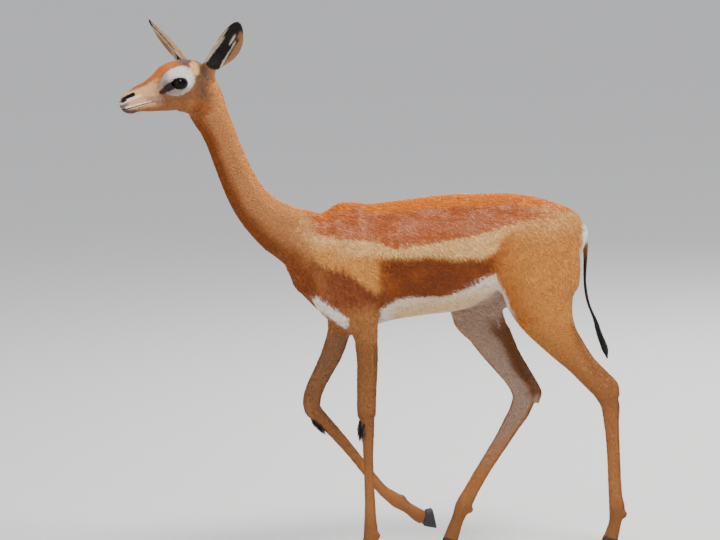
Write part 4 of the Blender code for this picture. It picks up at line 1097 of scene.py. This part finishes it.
class GERENUK_OT_skin(bpy.types.Operator):
    """Make one skin over all the flesh, just inside the coat"""

    bl_idname = "gerenuk.skin"
    bl_label = "Skin"

    def execute(self, context):
        sizes = context.scene.gerenuk_sizes
        body = swollen_copies(FLESH, "skin", sizes.overlap, sizes.body_voxel)
        on_head = self.smooth(body.data)
        ears = swollen_copies(EARS, "ears", sizes.overlap, sizes.ear_voxel)
        set_points(ears.data, relax(points_of(ears.data), edges_of(ears.data), 0.5, 4))
        apply_modifier(ears, "DECIMATE", ratio=0.25)
        self.thin(body, on_head, sizes.body_share)
        apply_modifier(body, "BOOLEAN", operation="UNION", object=ears, solver="MANIFOLD")
        bpy.data.objects.remove(ears)
        body.vertex_groups.clear()
        mesh = body.data
        self.draw_in(mesh, sizes.coat_depth)
        finish_face(mesh)
        points = points_of(mesh)
        set_colours(mesh, coat_colours(points, normals_of(mesh), nearest_parts(points)))
        smooth_shaded(mesh)
        mesh.materials.clear()
        mesh.materials.append(hide_finish())
        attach(body, "root")
        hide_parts(*PARTS)
        return {"FINISHED"}

    def smooth(self, mesh):
        """Take the solids' knee brushes off, smooth all and the head least; say what is head."""
        points = points_of(mesh)
        for brush in KNEE_BRUSHES.values():
            points = pare(points, *brush)
        along, _, up = head_coordinates(points)
        on_head = head_share(along, up)
        points = relax(points, edges_of(mesh), 0.5 - 0.15 * on_head, 4)
        points = relax(points, edges_of(mesh), 0.5 * (1 - on_head), 8)
        set_points(mesh, points)
        return on_head

    def thin(self, body, on_head, share):
        """Take faces away, and fewest on the head."""
        group = body.vertex_groups.new(name="thin")
        levels = np.round(np.clip(1 - on_head, 0.02, 1), 1)
        for level in np.unique(levels):
            group.add(np.flatnonzero(levels == level).tolist(), float(level), "REPLACE")
        apply_modifier(body, "DECIMATE", ratio=share, vertex_group="thin", vertex_group_factor=1.0)

    def draw_in(self, mesh, coat_depth):
        """Draw the skin in by the coat's depth, ease the roots of the ears and meet the claws."""
        points, normals, edges = points_of(mesh), normals_of(mesh), edges_of(mesh)
        parts = nearest_parts(points)
        depth = coat_depth_at(points, parts, coat_depth)
        depth = relax(np.repeat(depth[:, None], 3, 1), edges, 0.5, 12)[:, 0]
        points = points - normals * depth[:, None]
        joint = np.zeros(len(points))
        for name in EARS:
            middle, way, reach = axis_of((name,))
            apart = np.linalg.norm(points - (middle - way * reach), axis=1)
            joint = np.maximum(joint, step(apart, 0.034, 0.018))
        points = relax(points, edges, joint * 0.5, 8)
        set_points(mesh, meet_claws(points, parts))


def unwrapped(points, names):
    """Places on an unwrap of a part of the skin: round its own long axis, and along it."""
    middle, way, reach = axis_of(names)
    reference = unit(np.cross(way, (0.0, 1.0, 0.0)))
    other = np.cross(way, reference)
    local = points - middle
    angle = np.arctan2(local @ reference, local @ other)
    u = (angle / (2 * math.pi) + 0.5) * 0.98 + 0.01
    v = np.clip((local @ way / reach + 1) / 2, 0, 1) * 0.98 + 0.01
    return np.stack((u, v), axis=1)


def build_tufts(name, roots, normals, lie, lengths, widths, rises, colours, places, material, draw):
    """Closed tufts, each a spindle with a ridge: sunk root, three points at its widest, and tip."""
    count = len(roots)
    across = np.cross(normals, lie)
    middle = roots + lie * (lengths * TUFT_MIDDLE)[:, None] + normals * rises[:, None]
    wide = across * (widths * 0.5)[:, None]
    ridge = normals * (widths * 0.30)[:, None]
    tips = roots + lie * lengths[:, None] + normals * (rises * draw.uniform(0.5, 1.3, count))[:, None]
    sunk = roots - normals * TUFT_ROOT_DEPTH
    points = np.stack((sunk, middle - wide, middle + wide, middle + ridge, tips), axis=1).reshape(-1, 3)
    one = np.array(((0, 1, 3), (0, 3, 2), (0, 2, 1), (4, 3, 1), (4, 2, 3), (4, 1, 2)))
    faces = (one[None] + (np.arange(count) * 5)[:, None, None]).reshape(-1, 3)
    obj = mesh_object(name, points, faces, material, smooth=False)
    # Painted shade at each tuft's root and a painted sheen at its tip
    root_shade_tip_sheen = np.array((0.80, 0.95, 0.95, 1.00, 1.08))
    each = draw.uniform(0.84, 1.12, count)
    set_colours(obj.data, (colours[:, None, :] * (each[:, None] * root_shade_tip_sheen[None])[:, :, None]).reshape(-1, 3))
    patch = np.array(((0.5, 0.0), (0.0, 0.5), (1.0, 0.5), (0.5, 0.5), (0.5, 1.0))) * PATCH
    set_unwrap(obj.data, (places[:, None, :] + patch[None]).reshape(-1, 2), faces)
    return obj


def scatter(mesh, triangles, share, count, draw):
    """Random places on some of a mesh's triangles, more of them where the share is greater."""
    normals = normals_of(mesh)
    corners = points_of(mesh)[triangles]
    spans = np.cross(corners[:, 1] - corners[:, 0], corners[:, 2] - corners[:, 0])
    areas = np.linalg.norm(spans, axis=1) * share
    picked = draw.choice(len(triangles), count, p=areas / areas.sum())
    a, b = draw.uniform(size=(2, count))
    flip = a + b > 1
    a, b = np.where(flip, 1 - a, a), np.where(flip, 1 - b, b)
    weights = np.stack((1 - a - b, a, b), axis=1)[:, :, None]
    places = (corners[picked] * weights).sum(1)
    ways = unit((normals[triangles[picked]] * weights).sum(1))
    return places, ways


class GERENUK_OT_coat(bpy.types.Operator):
    """Grow the short tufts of the coat over the skin"""

    bl_idname = "gerenuk.coat"
    bl_label = "Coat"

    def execute(self, context):
        sizes = context.scene.gerenuk_sizes
        mesh = bpy.data.objects["skin"].data
        triangles = triangles_of(mesh)
        centres = points_of(mesh)[triangles].mean(1)
        parts = nearest_parts(centres)
        table = lie_table()
        material = tuft_finish()
        for seed, (name, (names, count)) in enumerate(TUFTS.items()):
            draw = np.random.default_rng(40 + seed)
            mine = lies_on(parts, *names)
            if name.endswith("trunk_left"):
                mine &= centres[:, 1] < MIDLINE_Y
            if name.endswith("trunk_right"):
                mine &= centres[:, 1] >= MIDLINE_Y
            share = self.fullness(centres[mine])
            places, normals = scatter(mesh, triangles[mine], share, round(count * sizes.fullness), draw)
            lie, lengths = lie_at(places, normals, table)
            colours = coat_colours(places, normals, nearest_parts(places))
            turn = draw.normal(0, 0.16, len(places))
            lie = unit(lie + np.cross(normals, lie) * turn[:, None])
            lengths = lengths * draw.uniform(0.75, 1.25, len(places)) * sizes.tuft_length
            widths = lengths * TUFT_WIDTH_SHARE * draw.uniform(0.8, 1.3, len(places)) * sizes.tuft_width
            rises = lengths * TUFT_RISE_SHARE * draw.uniform(0.5, 1.5, len(places))
            coat = build_tufts(name, places, normals, lie, lengths, widths, rises, colours,
                               unwrapped(places, names), material, draw)
            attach(coat, "root")
        return {"FINISHED"}

    def fullness(self, points):
        """More tufts to the area where they are small, none in mouth, nostrils or eyes."""
        along, out, up = head_coordinates(points)
        on_head = head_share(along, up)
        share = 1 + on_head * 3 * step(along, 0.10, 0.20)
        nostril = near_line(along, up, NOSTRIL_LINE) / NOSTRIL_HALF_WIDTH
        eye = oval(along, up, BARE_EYE)
        mouth = near_line(along, up, MOUTH_LINE)
        bare = (nostril < 1.05) | ((eye < 1.05) & (out > 0.012)) | (mouth < 0.0012)
        return np.where(bare & (on_head > 0.5), 0.0, share)


def eye_frame(side):
    """Centre of an eyeball, the way it looks, level across it towards the nose, and up."""
    centre = head_point(EYE_PLACE, side)
    axis = head_way(EYE_AXIS, side).normalized()
    across = (NOSE - axis * NOSE.dot(axis)).normalized()
    up = across.cross(axis)
    up = up if up.z > 0 else -up
    return centre, axis, across, up


class GERENUK_OT_eyes(bpy.types.Operator):
    """Make the two eyeballs, each with a slight bulge over the pupil"""

    bl_idname = "gerenuk.eyes"
    bl_label = "Eyes"

    def execute(self, context):
        material = eye_finish()
        for name, side in (("left", 1), ("right", -1)):
            centre, axis, across, up = eye_frame(side)
            deselect_all()
            bpy.ops.mesh.primitive_uv_sphere_add(segments=EYE_SIDES, ring_count=EYE_RINGS,
                                                 radius=EYE_RADIUS, location=centre)
            eye = context.active_object
            eye.name = f"eyeball_{name}"
            bpy.ops.object.transform_apply(location=True, rotation=True, scale=True)
            points = points_of(eye.data)
            local = points - np.array(centre)
            facing = local @ np.array(axis) / EYE_RADIUS
            bulge = step(facing, 0.55, 1.0) * 0.0007
            set_points(eye.data, points + unit(local) * bulge[:, None])
            for key, way in (("eye_across", across), ("eye_up", up)):
                layer = eye.data.attributes.new(key, "FLOAT", "POINT")
                behind = np.where(facing > 0, 0, 0.02)
                layer.data.foreach_set("value", (local @ np.array(way) + behind).astype(np.float32))
            smooth_shaded(eye.data)
            eye.data.materials.append(material)
            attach(eye, "root")
            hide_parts(f"eye_{name}")
        return {"FINISHED"}


# Rings of a lid from its edge outwards: how much wider, how far off the eyeball, whether in the skin
LID_RINGS = (
    (-0.0004, -0.0012, False),
    (0.0000, 0.0004, False),
    (0.0006, 0.0008, False),
    (0.0016, 0.0008, False),
    (0.0030, 0.0002, False),
    (0.0056, -0.0012, True),
    (0.0050, -0.0050, False),
)


def almond(turn, grow):
    """Half-sizes of the eye's opening at an angle, its corners drawn out, widened all round by grow."""
    wide, high = LID_OPENING
    lift = 1.08 if math.sin(turn) > 0 else 0.94
    corner = max(math.cos(turn), 0) ** 6
    across = math.cos(turn) * (wide + grow) + 0.0022 * corner
    height = math.sin(turn) * abs(math.sin(turn)) ** 0.30 * (high * lift + grow) - 0.0012 * corner
    return across, height


class GERENUK_OT_lids(bpy.types.Operator):
    """Make the black lids round each eye, with lashes on the upper one"""

    bl_idname = "gerenuk.lids"
    bl_label = "Lids and lashes"

    def execute(self, context):
        material = lid_finish()
        hair = tuft_finish("lash_hair", 0.42)
        draw = np.random.default_rng(3)
        tree = BVHTree.FromObject(bpy.data.objects["skin"], context.evaluated_depsgraph_get())
        for name, side in (("left", 1), ("right", -1)):
            eye = eye_frame(side)
            lid = mesh_object(f"lids_{name}", *self.rings(eye, tree), material)
            edit_whole_mesh(lid, bpy.ops.mesh.normals_make_consistent, inside=False)
            apply_modifier(lid, "SUBSURF", levels=1, render_levels=1)
            set_colours(lid.data, tint("dark"))
            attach(lid, "root")
            lash = build_locks(f"lashes_{name}", self.lashes(eye, draw), hair, draw, sides=3)
            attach(lash, "root")
        return {"FINISHED"}

    def rings(self, eye, tree):
        """Points and faces of the lids round one eye."""
        centre, axis, across, up = eye
        points, faces = [], []
        for grow, rise, sunk in LID_RINGS:
            radius = EYE_RADIUS + rise
            for k in range(LID_SIDES):
                a, b = almond(2 * math.pi * k / LID_SIDES, grow)
                flat = math.hypot(a, b)
                depth = math.sqrt(max(radius ** 2 - flat ** 2, (0.42 * radius) ** 2))
                place = centre + axis * depth + across * a + up * b
                if sunk:
                    near, normal = tree.find_nearest(place)[:2]
                    place = near - normal * 0.0012
                points.append(place)
        for ring in range(len(LID_RINGS)):
            here, there = ring * LID_SIDES, (ring + 1) % len(LID_RINGS) * LID_SIDES
            for k in range(LID_SIDES):
                beside = (k + 1) % LID_SIDES
                faces.append((here + k, here + beside, there + beside, there + k))
        return np.array(points), np.array(faces)

    def lashes(self, eye, draw):
        """The lashes of one eye."""
        centre, axis, across, up = eye
        widths = 0.00055 * np.array((1.0, 1.0, 0.8, 0.55, 0.15))
        locks = []
        for k in range(LASHES_PER_EYE):
            turn = math.radians(18 + 140 * k / (LASHES_PER_EYE - 1) + draw.uniform(-2, 2))
            a, b = almond(turn, 0.0010)
            depth = math.sqrt((EYE_RADIUS + 0.0010) ** 2 - a * a - b * b)
            root = centre + axis * depth + across * a + up * b
            length = draw.uniform(0.0075, 0.0105) * (0.65 + 0.35 * math.sin(turn))
            aim = (axis * 0.85 + across * (a / 0.020) + up * 0.35).normalized()
            path = [root + aim * (length * t) + up * (0.0030 * t * t) for t in np.linspace(0, 1, 5)]
            locks.append((path, widths, np.array(up), tint("dark") * 0.7))
        return locks


def combed_path(root, way, length, normal, stand, curl, sunk):
    """The path of a lock along the skin: its root sunk in, its middle standing off."""
    path = []
    for t in np.linspace(0, 1, 5):
        path.append(root + way * (length * t) + normal * (stand * length * math.sin(curl * t) - sunk))
    return path


def build_locks(name, locks, material, draw, sides=4):
    """Long tapered locks, each along its own path of points with a width at each."""
    points, faces, colours, corners = [], [], [], []
    for path, widths, flat_way, shade in locks:
        path = np.asarray(path, float)
        ways = unit(np.gradient(path, axis=0))
        across = unit(np.cross(ways, flat_way))
        thick = np.cross(across, ways)
        start = len(points)
        rings = len(path) - 1
        for k in range(rings):
            for s in range(sides):
                angle = 2 * math.pi * s / sides
                points.append(path[k] + across[k] * widths[k] * math.cos(angle) * 0.5
                              + thick[k] * widths[k] * math.sin(angle) * 0.22)
        points.append(path[-1])
        for k in range(rings - 1):
            for s in range(sides):
                a, b = start + k * sides + s, start + k * sides + (s + 1) % sides
                faces += [(a, b, b + sides), (a, b + sides, a + sides)]
        last = start + (rings - 1) * sides
        for s in range(sides):
            faces.append((last + s, last + (s + 1) % sides, len(points) - 1))
        for s in range(1, sides - 1):
            faces.append((start, start + s + 1, start + s))
        colours += [shade] * (rings * sides + 1)
        place = draw.uniform(0.01, 0.98, 2)
        for k in range(rings):
            for s in range(sides):
                corners.append(place + PATCH * np.array((s / sides, k / rings)))
        corners.append(place + PATCH * np.array((0.5, 1.0)))
    faces = np.array(faces)
    obj = mesh_object(name, np.array(points), faces, material)
    set_colours(obj.data, np.array(colours))
    set_unwrap(obj.data, np.array(corners), faces)
    edit_whole_mesh(obj, bpy.ops.mesh.normals_make_consistent, inside=False)
    return obj


class GERENUK_OT_ear_hair(bpy.types.Operator):
    """Comb long pale hair along the cups of the ears"""

    bl_idname = "gerenuk.ear_hair"
    bl_label = "Ear hair"

    def execute(self, context):
        draw = np.random.default_rng(13)
        skin = bpy.data.objects["skin"].data
        points, normals = points_of(skin), normals_of(skin)
        parts = nearest_parts(points)
        locks = []
        for name in EARS:
            way, reach = axis_of((name,))[1:]
            t, across = ear_coordinates(points, name)
            in_cup = lies_on(parts, name) & (normals @ ear_facing(name) > 0.25)
            for lane, wide, low, high in EAR_STREAKS[name]:
                beside = np.abs(across - streak_middle(lane, t)) < wide + 0.02
                roots = np.flatnonzero(in_cup & beside & (t > max(low, 0.05)) & (t < high - 0.12))
                for k in draw.choice(roots, LOCKS_PER_EAR_STREAK):
                    length = min(draw.uniform(0.012, 0.021), (0.94 - t[k]) * 2 * reach)
                    path = combed_path(points[k], way, length, normals[k], 0.16, 2.6, 0.0004)
                    widths = draw.uniform(0.0006, 0.0011) * np.array((0.8, 1.0, 0.9, 0.6, 0.1))
                    locks.append((path, widths, normals[k], tint("cream") * draw.uniform(0.65, 1.05)))
        hair = build_locks("ear_hair", locks, tuft_finish("long_pale_hair", 0.50), draw, sides=3)
        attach(hair, "root")
        return {"FINISHED"}


class GERENUK_OT_tail_hair(bpy.types.Operator):
    """Hang long black locks from the tail"""

    bl_idname = "gerenuk.tail_hair"
    bl_label = "Tail hair"

    def execute(self, context):
        draw = np.random.default_rng(5)
        tail = stations("tail", 8)[0]
        tuft, tuft_ways = stations("tail_tuft", 7)
        line = np.concatenate((tail, tuft, tuft[-1:] + tuft_ways[-1:] * 0.012))
        run = np.concatenate(((0,), np.cumsum(np.linalg.norm(np.diff(line, axis=0), axis=1))))
        locks = []
        for _ in range(TAIL_LOCKS):
            start = draw.uniform(0.30, 0.84) * run[-1]
            length = min(draw.uniform(0.045, 0.110), run[-1] - start)
            angle = draw.uniform(0, 2 * math.pi)
            out = np.array((math.cos(angle), math.sin(angle), 0.0))
            spread = 0.0034 + 0.0070 * step(start / run[-1], 0.50, 0.78)
            path = []
            for t in np.linspace(0, 1, 7):
                centre = np.array([np.interp(start + length * t, run, line[:, axis]) for axis in range(3)])
                belly = 0.0025 + (spread - 0.0025) * math.sin(math.pi * min(t * 1.1, 1)) * 0.9
                path.append(centre + out * belly * (1 - 0.28 * t))
            widths = draw.uniform(0.0018, 0.0034) * np.array((0.6, 1.0, 1.0, 0.9, 0.7, 0.45, 0.1))
            locks.append((path, widths, out, tint("dark") * draw.uniform(0.6, 1.6)))
        hair = build_locks("tail_hair", locks, tuft_finish("long_dark_hair", 0.42), draw)
        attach(hair, "root")
        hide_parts("tail_tuft")
        return {"FINISHED"}


class GERENUK_OT_knee_brushes(bpy.types.Operator):
    """Make the brush of dark hair on the front of each knee"""

    bl_idname = "gerenuk.knee_brushes"
    bl_label = "Knee brushes"

    def execute(self, context):
        draw = np.random.default_rng(9)
        material = tuft_finish("brush_hair", 0.46)
        tree = BVHTree.FromObject(bpy.data.objects["skin"], context.evaluated_depsgraph_get())
        for name, (start, end, *_) in KNEE_BRUSHES.items():
            run = (end - start).normalized()
            forward = Vector((-1, 0, 0))
            forward = (forward - run * forward.dot(run)).normalized()
            sideways = run.cross(forward)
            locks = []
            for _ in range(BRUSH_LOCKS):
                share = draw.uniform(0.13, 0.62)
                turn = draw.normal(0, 0.36)
                out = forward * math.cos(turn) + sideways * math.sin(turn)
                place = start.lerp(end, share) + out * 0.024
                near, normal = tree.find_nearest(place)[:2]
                length = draw.uniform(0.016, 0.030)
                stand = draw.uniform(0.10, 0.34)
                path = combed_path(near, run, length, normal, stand, 2.0, 0.0006)
                widths = draw.uniform(0.0014, 0.0026) * np.array((0.7, 1.0, 0.9, 0.6, 0.1))
                locks.append((path, widths, np.array(normal), tint("dark") * draw.uniform(0.7, 1.8)))
            brush = build_locks(f"knee_brush_{name}", locks, material, draw)
            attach(brush, "root")
        return {"FINISHED"}


class GERENUK_OT_claws(bpy.types.Operator):
    """Round off and finish the eight claws"""

    bl_idname = "gerenuk.claws"
    bl_label = "Claws"

    def execute(self, context):
        material = claw_finish()
        for name in CLAWS:
            claw = copies_of((name,), name + "_horn")
            apply_modifier(claw, "REMESH", mode="VOXEL", voxel_size=0.0009)
            mesh = claw.data
            points = relax(points_of(mesh), edges_of(mesh), 0.5, 3)
            points[:, 2] = np.maximum(points[:, 2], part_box(name)[0].z)
            set_points(mesh, points)
            apply_modifier(claw, "DECIMATE", ratio=0.30)
            smooth_shaded(claw.data)
            claw.data.materials.append(material)
            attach(claw, "root")
            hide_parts(name)
        return {"FINISHED"}


class GERENUK_OT_stage(bpy.types.Operator):
    """Lay the floor, hang the soft lights and set the camera"""

    bl_idname = "gerenuk.stage"
    bl_label = "Stage"

    def execute(self, context):
        deselect_all()
        bpy.ops.mesh.primitive_plane_add(size=160, location=(0, 0, 0))
        floor = context.active_object
        floor.name = "studio_floor"
        floor.data.materials.append(floor_finish())
        world = bpy.data.worlds.new("soft_daylight")
        world.use_nodes = True
        background = next(n for n in world.node_tree.nodes if n.type == "BACKGROUND")
        background.inputs["Color"].default_value = (0.90, 0.93, 1.0, 1)
        background.inputs["Strength"].default_value = 0.80
        context.scene.world = world
        lights = (
            ("key", (1.5, -1.9, 4.4), 1.6, 260),
            ("fill", (-2.8, -3.0, 1.8), 2.6, 45),
            ("rim", (2.0, 3.0, 3.2), 2.0, 150),
        )
        target = Vector((0.0, 0.0, 0.75))
        for name, place, size, power in lights:
            bpy.ops.object.light_add(type="AREA", location=place)
            light = context.active_object
            light.name = name
            light.data.size = size
            light.data.energy = power
            light.rotation_euler = (target - Vector(place)).to_track_quat("-Z", "Y").to_euler()
        level = math.cos(CAMERA_ELEVATION)
        back = Vector((math.sin(CAMERA_AZIMUTH) * level, -math.cos(CAMERA_AZIMUTH) * level,
                       math.sin(CAMERA_ELEVATION)))
        bpy.ops.object.camera_add(location=CAMERA_AIM + back * CAMERA_DISTANCE)
        camera = context.active_object
        turned = (-back).to_track_quat("-Z", "Y").to_matrix() @ Matrix.Rotation(-CAMERA_ROLL, 3, "Z")
        camera.rotation_euler = turned.to_euler()
        camera.data.lens = LENS_MM
        camera.data.sensor_width = SENSOR_MM
        camera.data.clip_end = 100
        context.scene.camera = camera
        return {"FINISHED"}


def length_property(name, description, metres):
    """A length that a user may change."""
    return FloatProperty(name=name, description=description, default=metres, unit="LENGTH")


def share_property(name, description, share):
    """A share, or a factor against the usual."""
    return FloatProperty(name=name, description=description, default=share, subtype="FACTOR")


def colour_property(name, description, rgb):
    """A colour, given as a screen shows it."""
    return FloatVectorProperty(name=name, description=description, default=tuple(v / 255 for v in rgb),
                               size=3, min=0, max=1, subtype="COLOR")


class GerenukSizes(bpy.types.PropertyGroup):
    """Sizes of the skin and coat that a user may change."""

    coat_depth: length_property("Coat depth", "How far the skin lies inside the coat's outline", 0.0028)
    overlap: length_property("Overlap", "How far the solids swell so that they join", 0.0004)
    body_voxel: length_property("Body grain", "Size of the skin's first faces", 0.0020)
    ear_voxel: length_property("Ear grain", "Size of the ears' first faces", 0.0009)
    body_share: share_property("Share kept", "Share of the skin's first faces that stay", 0.140)
    tuft_length: share_property("Tuft length", "Length of the tufts against the usual", 1.0)
    tuft_width: share_property("Tuft width", "Width of the tufts against the usual", 1.0)
    richness: share_property("Richness", "Strength of the coat's colours against grey", 1.12)
    fullness: share_property("Fullness", "Number of tufts against the usual", 1.0)


class GerenukColours(bpy.types.PropertyGroup):
    """Colours of the coat and horn, as a screen shows them; some of them are painted shade, highlight or
    sheen.
    """

    haunch: colour_property("Haunch", "Hair of the haunch and thigh", (196, 132, 74))
    saddle: colour_property("Saddle", "Red brown of the back", (176, 96, 56))
    # Saddle bloom: rosy hair tips, partly a painted sheen
    saddle_tips_and_sheen: colour_property("Saddle bloom", "Rosy tips over the back", (200, 134, 104))
    # Spine: painted highlight on the top of the back
    spine: colour_property("Spine", "Orange along the spine", (216, 122, 54))
    band: colour_property("Side band", "Pale band under the saddle", (228, 184, 128))
    # Flank: dark brown hair, deepened with painted shade
    flank: colour_property("Flank", "Dark brown of the flank", (120, 58, 24))
    flank_light: colour_property("Flank light", "Lighter brown in the flank", (166, 92, 42))
    # Flank light: lighter brown mottling in the flank, also the painted shade on the front of the thigh
    shoulder: colour_property("Shoulder", "Golden tan of the shoulder", (208, 146, 84))
    # Lower shoulder: dark brown hair, deepened with painted shade
    shaded_lower_shoulder: colour_property("Lower shoulder", "Dark brown under the golden shoulder", (126, 66, 36))
    # Throat: dark brown hair, deepened with painted shade
    throat: colour_property("Throat", "Front of the neck", (140, 76, 36))
    neck_side: colour_property("Neck side", "Side of the neck", (184, 126, 82))
    # Nape: painted highlight on the back of the neck
    nape: colour_property("Nape", "Back of the neck", (220, 152, 94))
    leg: colour_property("Leg", "Outside of the legs", (158, 104, 62))
    leg_dark: colour_property("Leg, dark", "Darker hair low on the legs", (106, 66, 38))
    # Inner leg: grey-white hair, deepened with painted shade
    inner_leg: colour_property("Inner leg", "Inside of the hind legs", (172, 145, 128))
    white: colour_property("White", "Belly, rump and lips", (240, 230, 216))
    cream: colour_property("Cream", "Hair in the ears", (232, 214, 186))
    forehead: colour_property("Forehead", "Russet of the forehead", (200, 112, 58))
    eye_ring: colour_property("Eye ring", "Pale hair round the eye", (226, 218, 208))
    eye_ring_low: colour_property("Eye ring, low", "Grey hair under the eye", (152, 138, 132))
    # Cheek: brown hair, deepened with painted shade
    cheek: colour_property("Cheek", "Brown of the cheek", (132, 87, 57))
    # Temple: painted shade behind the eye and under the ear
    temple_shade: colour_property("Temple", "Brown behind the eye and under the ear", (104, 72, 50))
    crown: colour_property("Crown", "Grey hair between and behind the ears", (104, 88, 88))
    muzzle: colour_property("Muzzle", "Side of the muzzle", (222, 176, 134))
    nose_top: colour_property("Nose, top", "Top of the nose", (172, 104, 72))
    jaw: colour_property("Jaw", "Underside of the jaw", (158, 104, 62))
    lip: colour_property("Lip", "Grey front of the upper lip", (120, 100, 104))
    chin: colour_property("Chin", "Dark chin", (76, 62, 64))
    ear_back: colour_property("Ear back", "Back and edges of the ears", (172, 130, 90))
    ear_inside: colour_property("Ear inside", "Hair in the cup of the ears", (27, 19, 17))
    dark: colour_property("Black", "Black hair and bare skin", (21, 17, 17))
    horn: colour_property("Horn", "Claws", (30, 26, 25))
    worn_horn: colour_property("Worn horn", "Claws at the ground", (72, 63, 56))


STEPS = (GERENUK_OT_skin, GERENUK_OT_eyes, GERENUK_OT_lids, GERENUK_OT_coat, GERENUK_OT_ear_hair,
         GERENUK_OT_tail_hair, GERENUK_OT_knee_brushes, GERENUK_OT_claws, GERENUK_OT_stage)


class GERENUK_PT_panel(bpy.types.Panel):
    """The steps in the order in which they are run"""

    bl_idname = "GERENUK_PT_panel"
    bl_label = "Gerenuk"
    bl_space_type = "VIEW_3D"
    bl_region_type = "UI"
    bl_category = "Gerenuk"

    def draw(self, context):
        for operator in STEPS:
            self.layout.operator(operator.bl_idname)
        for settings in (context.scene.gerenuk_sizes, context.scene.gerenuk_colours):
            for key in settings.__annotations__:
                self.layout.prop(settings, key)


CLASSES = (GerenukSizes, GerenukColours) + STEPS + (GERENUK_PT_panel,)


def register():
    for made in CLASSES:
        bpy.utils.register_class(made)
    bpy.types.Scene.gerenuk_sizes = PointerProperty(type=GerenukSizes)
    bpy.types.Scene.gerenuk_colours = PointerProperty(type=GerenukColours)


def unregister():
    del bpy.types.Scene.gerenuk_colours
    del bpy.types.Scene.gerenuk_sizes
    for made in reversed(CLASSES):
        bpy.utils.unregister_class(made)


def main():
    register()
    for operator in STEPS:
        group, name = operator.bl_idname.split(".")
        getattr(getattr(bpy.ops, group), name)()


if __name__ == "__main__":
    main()
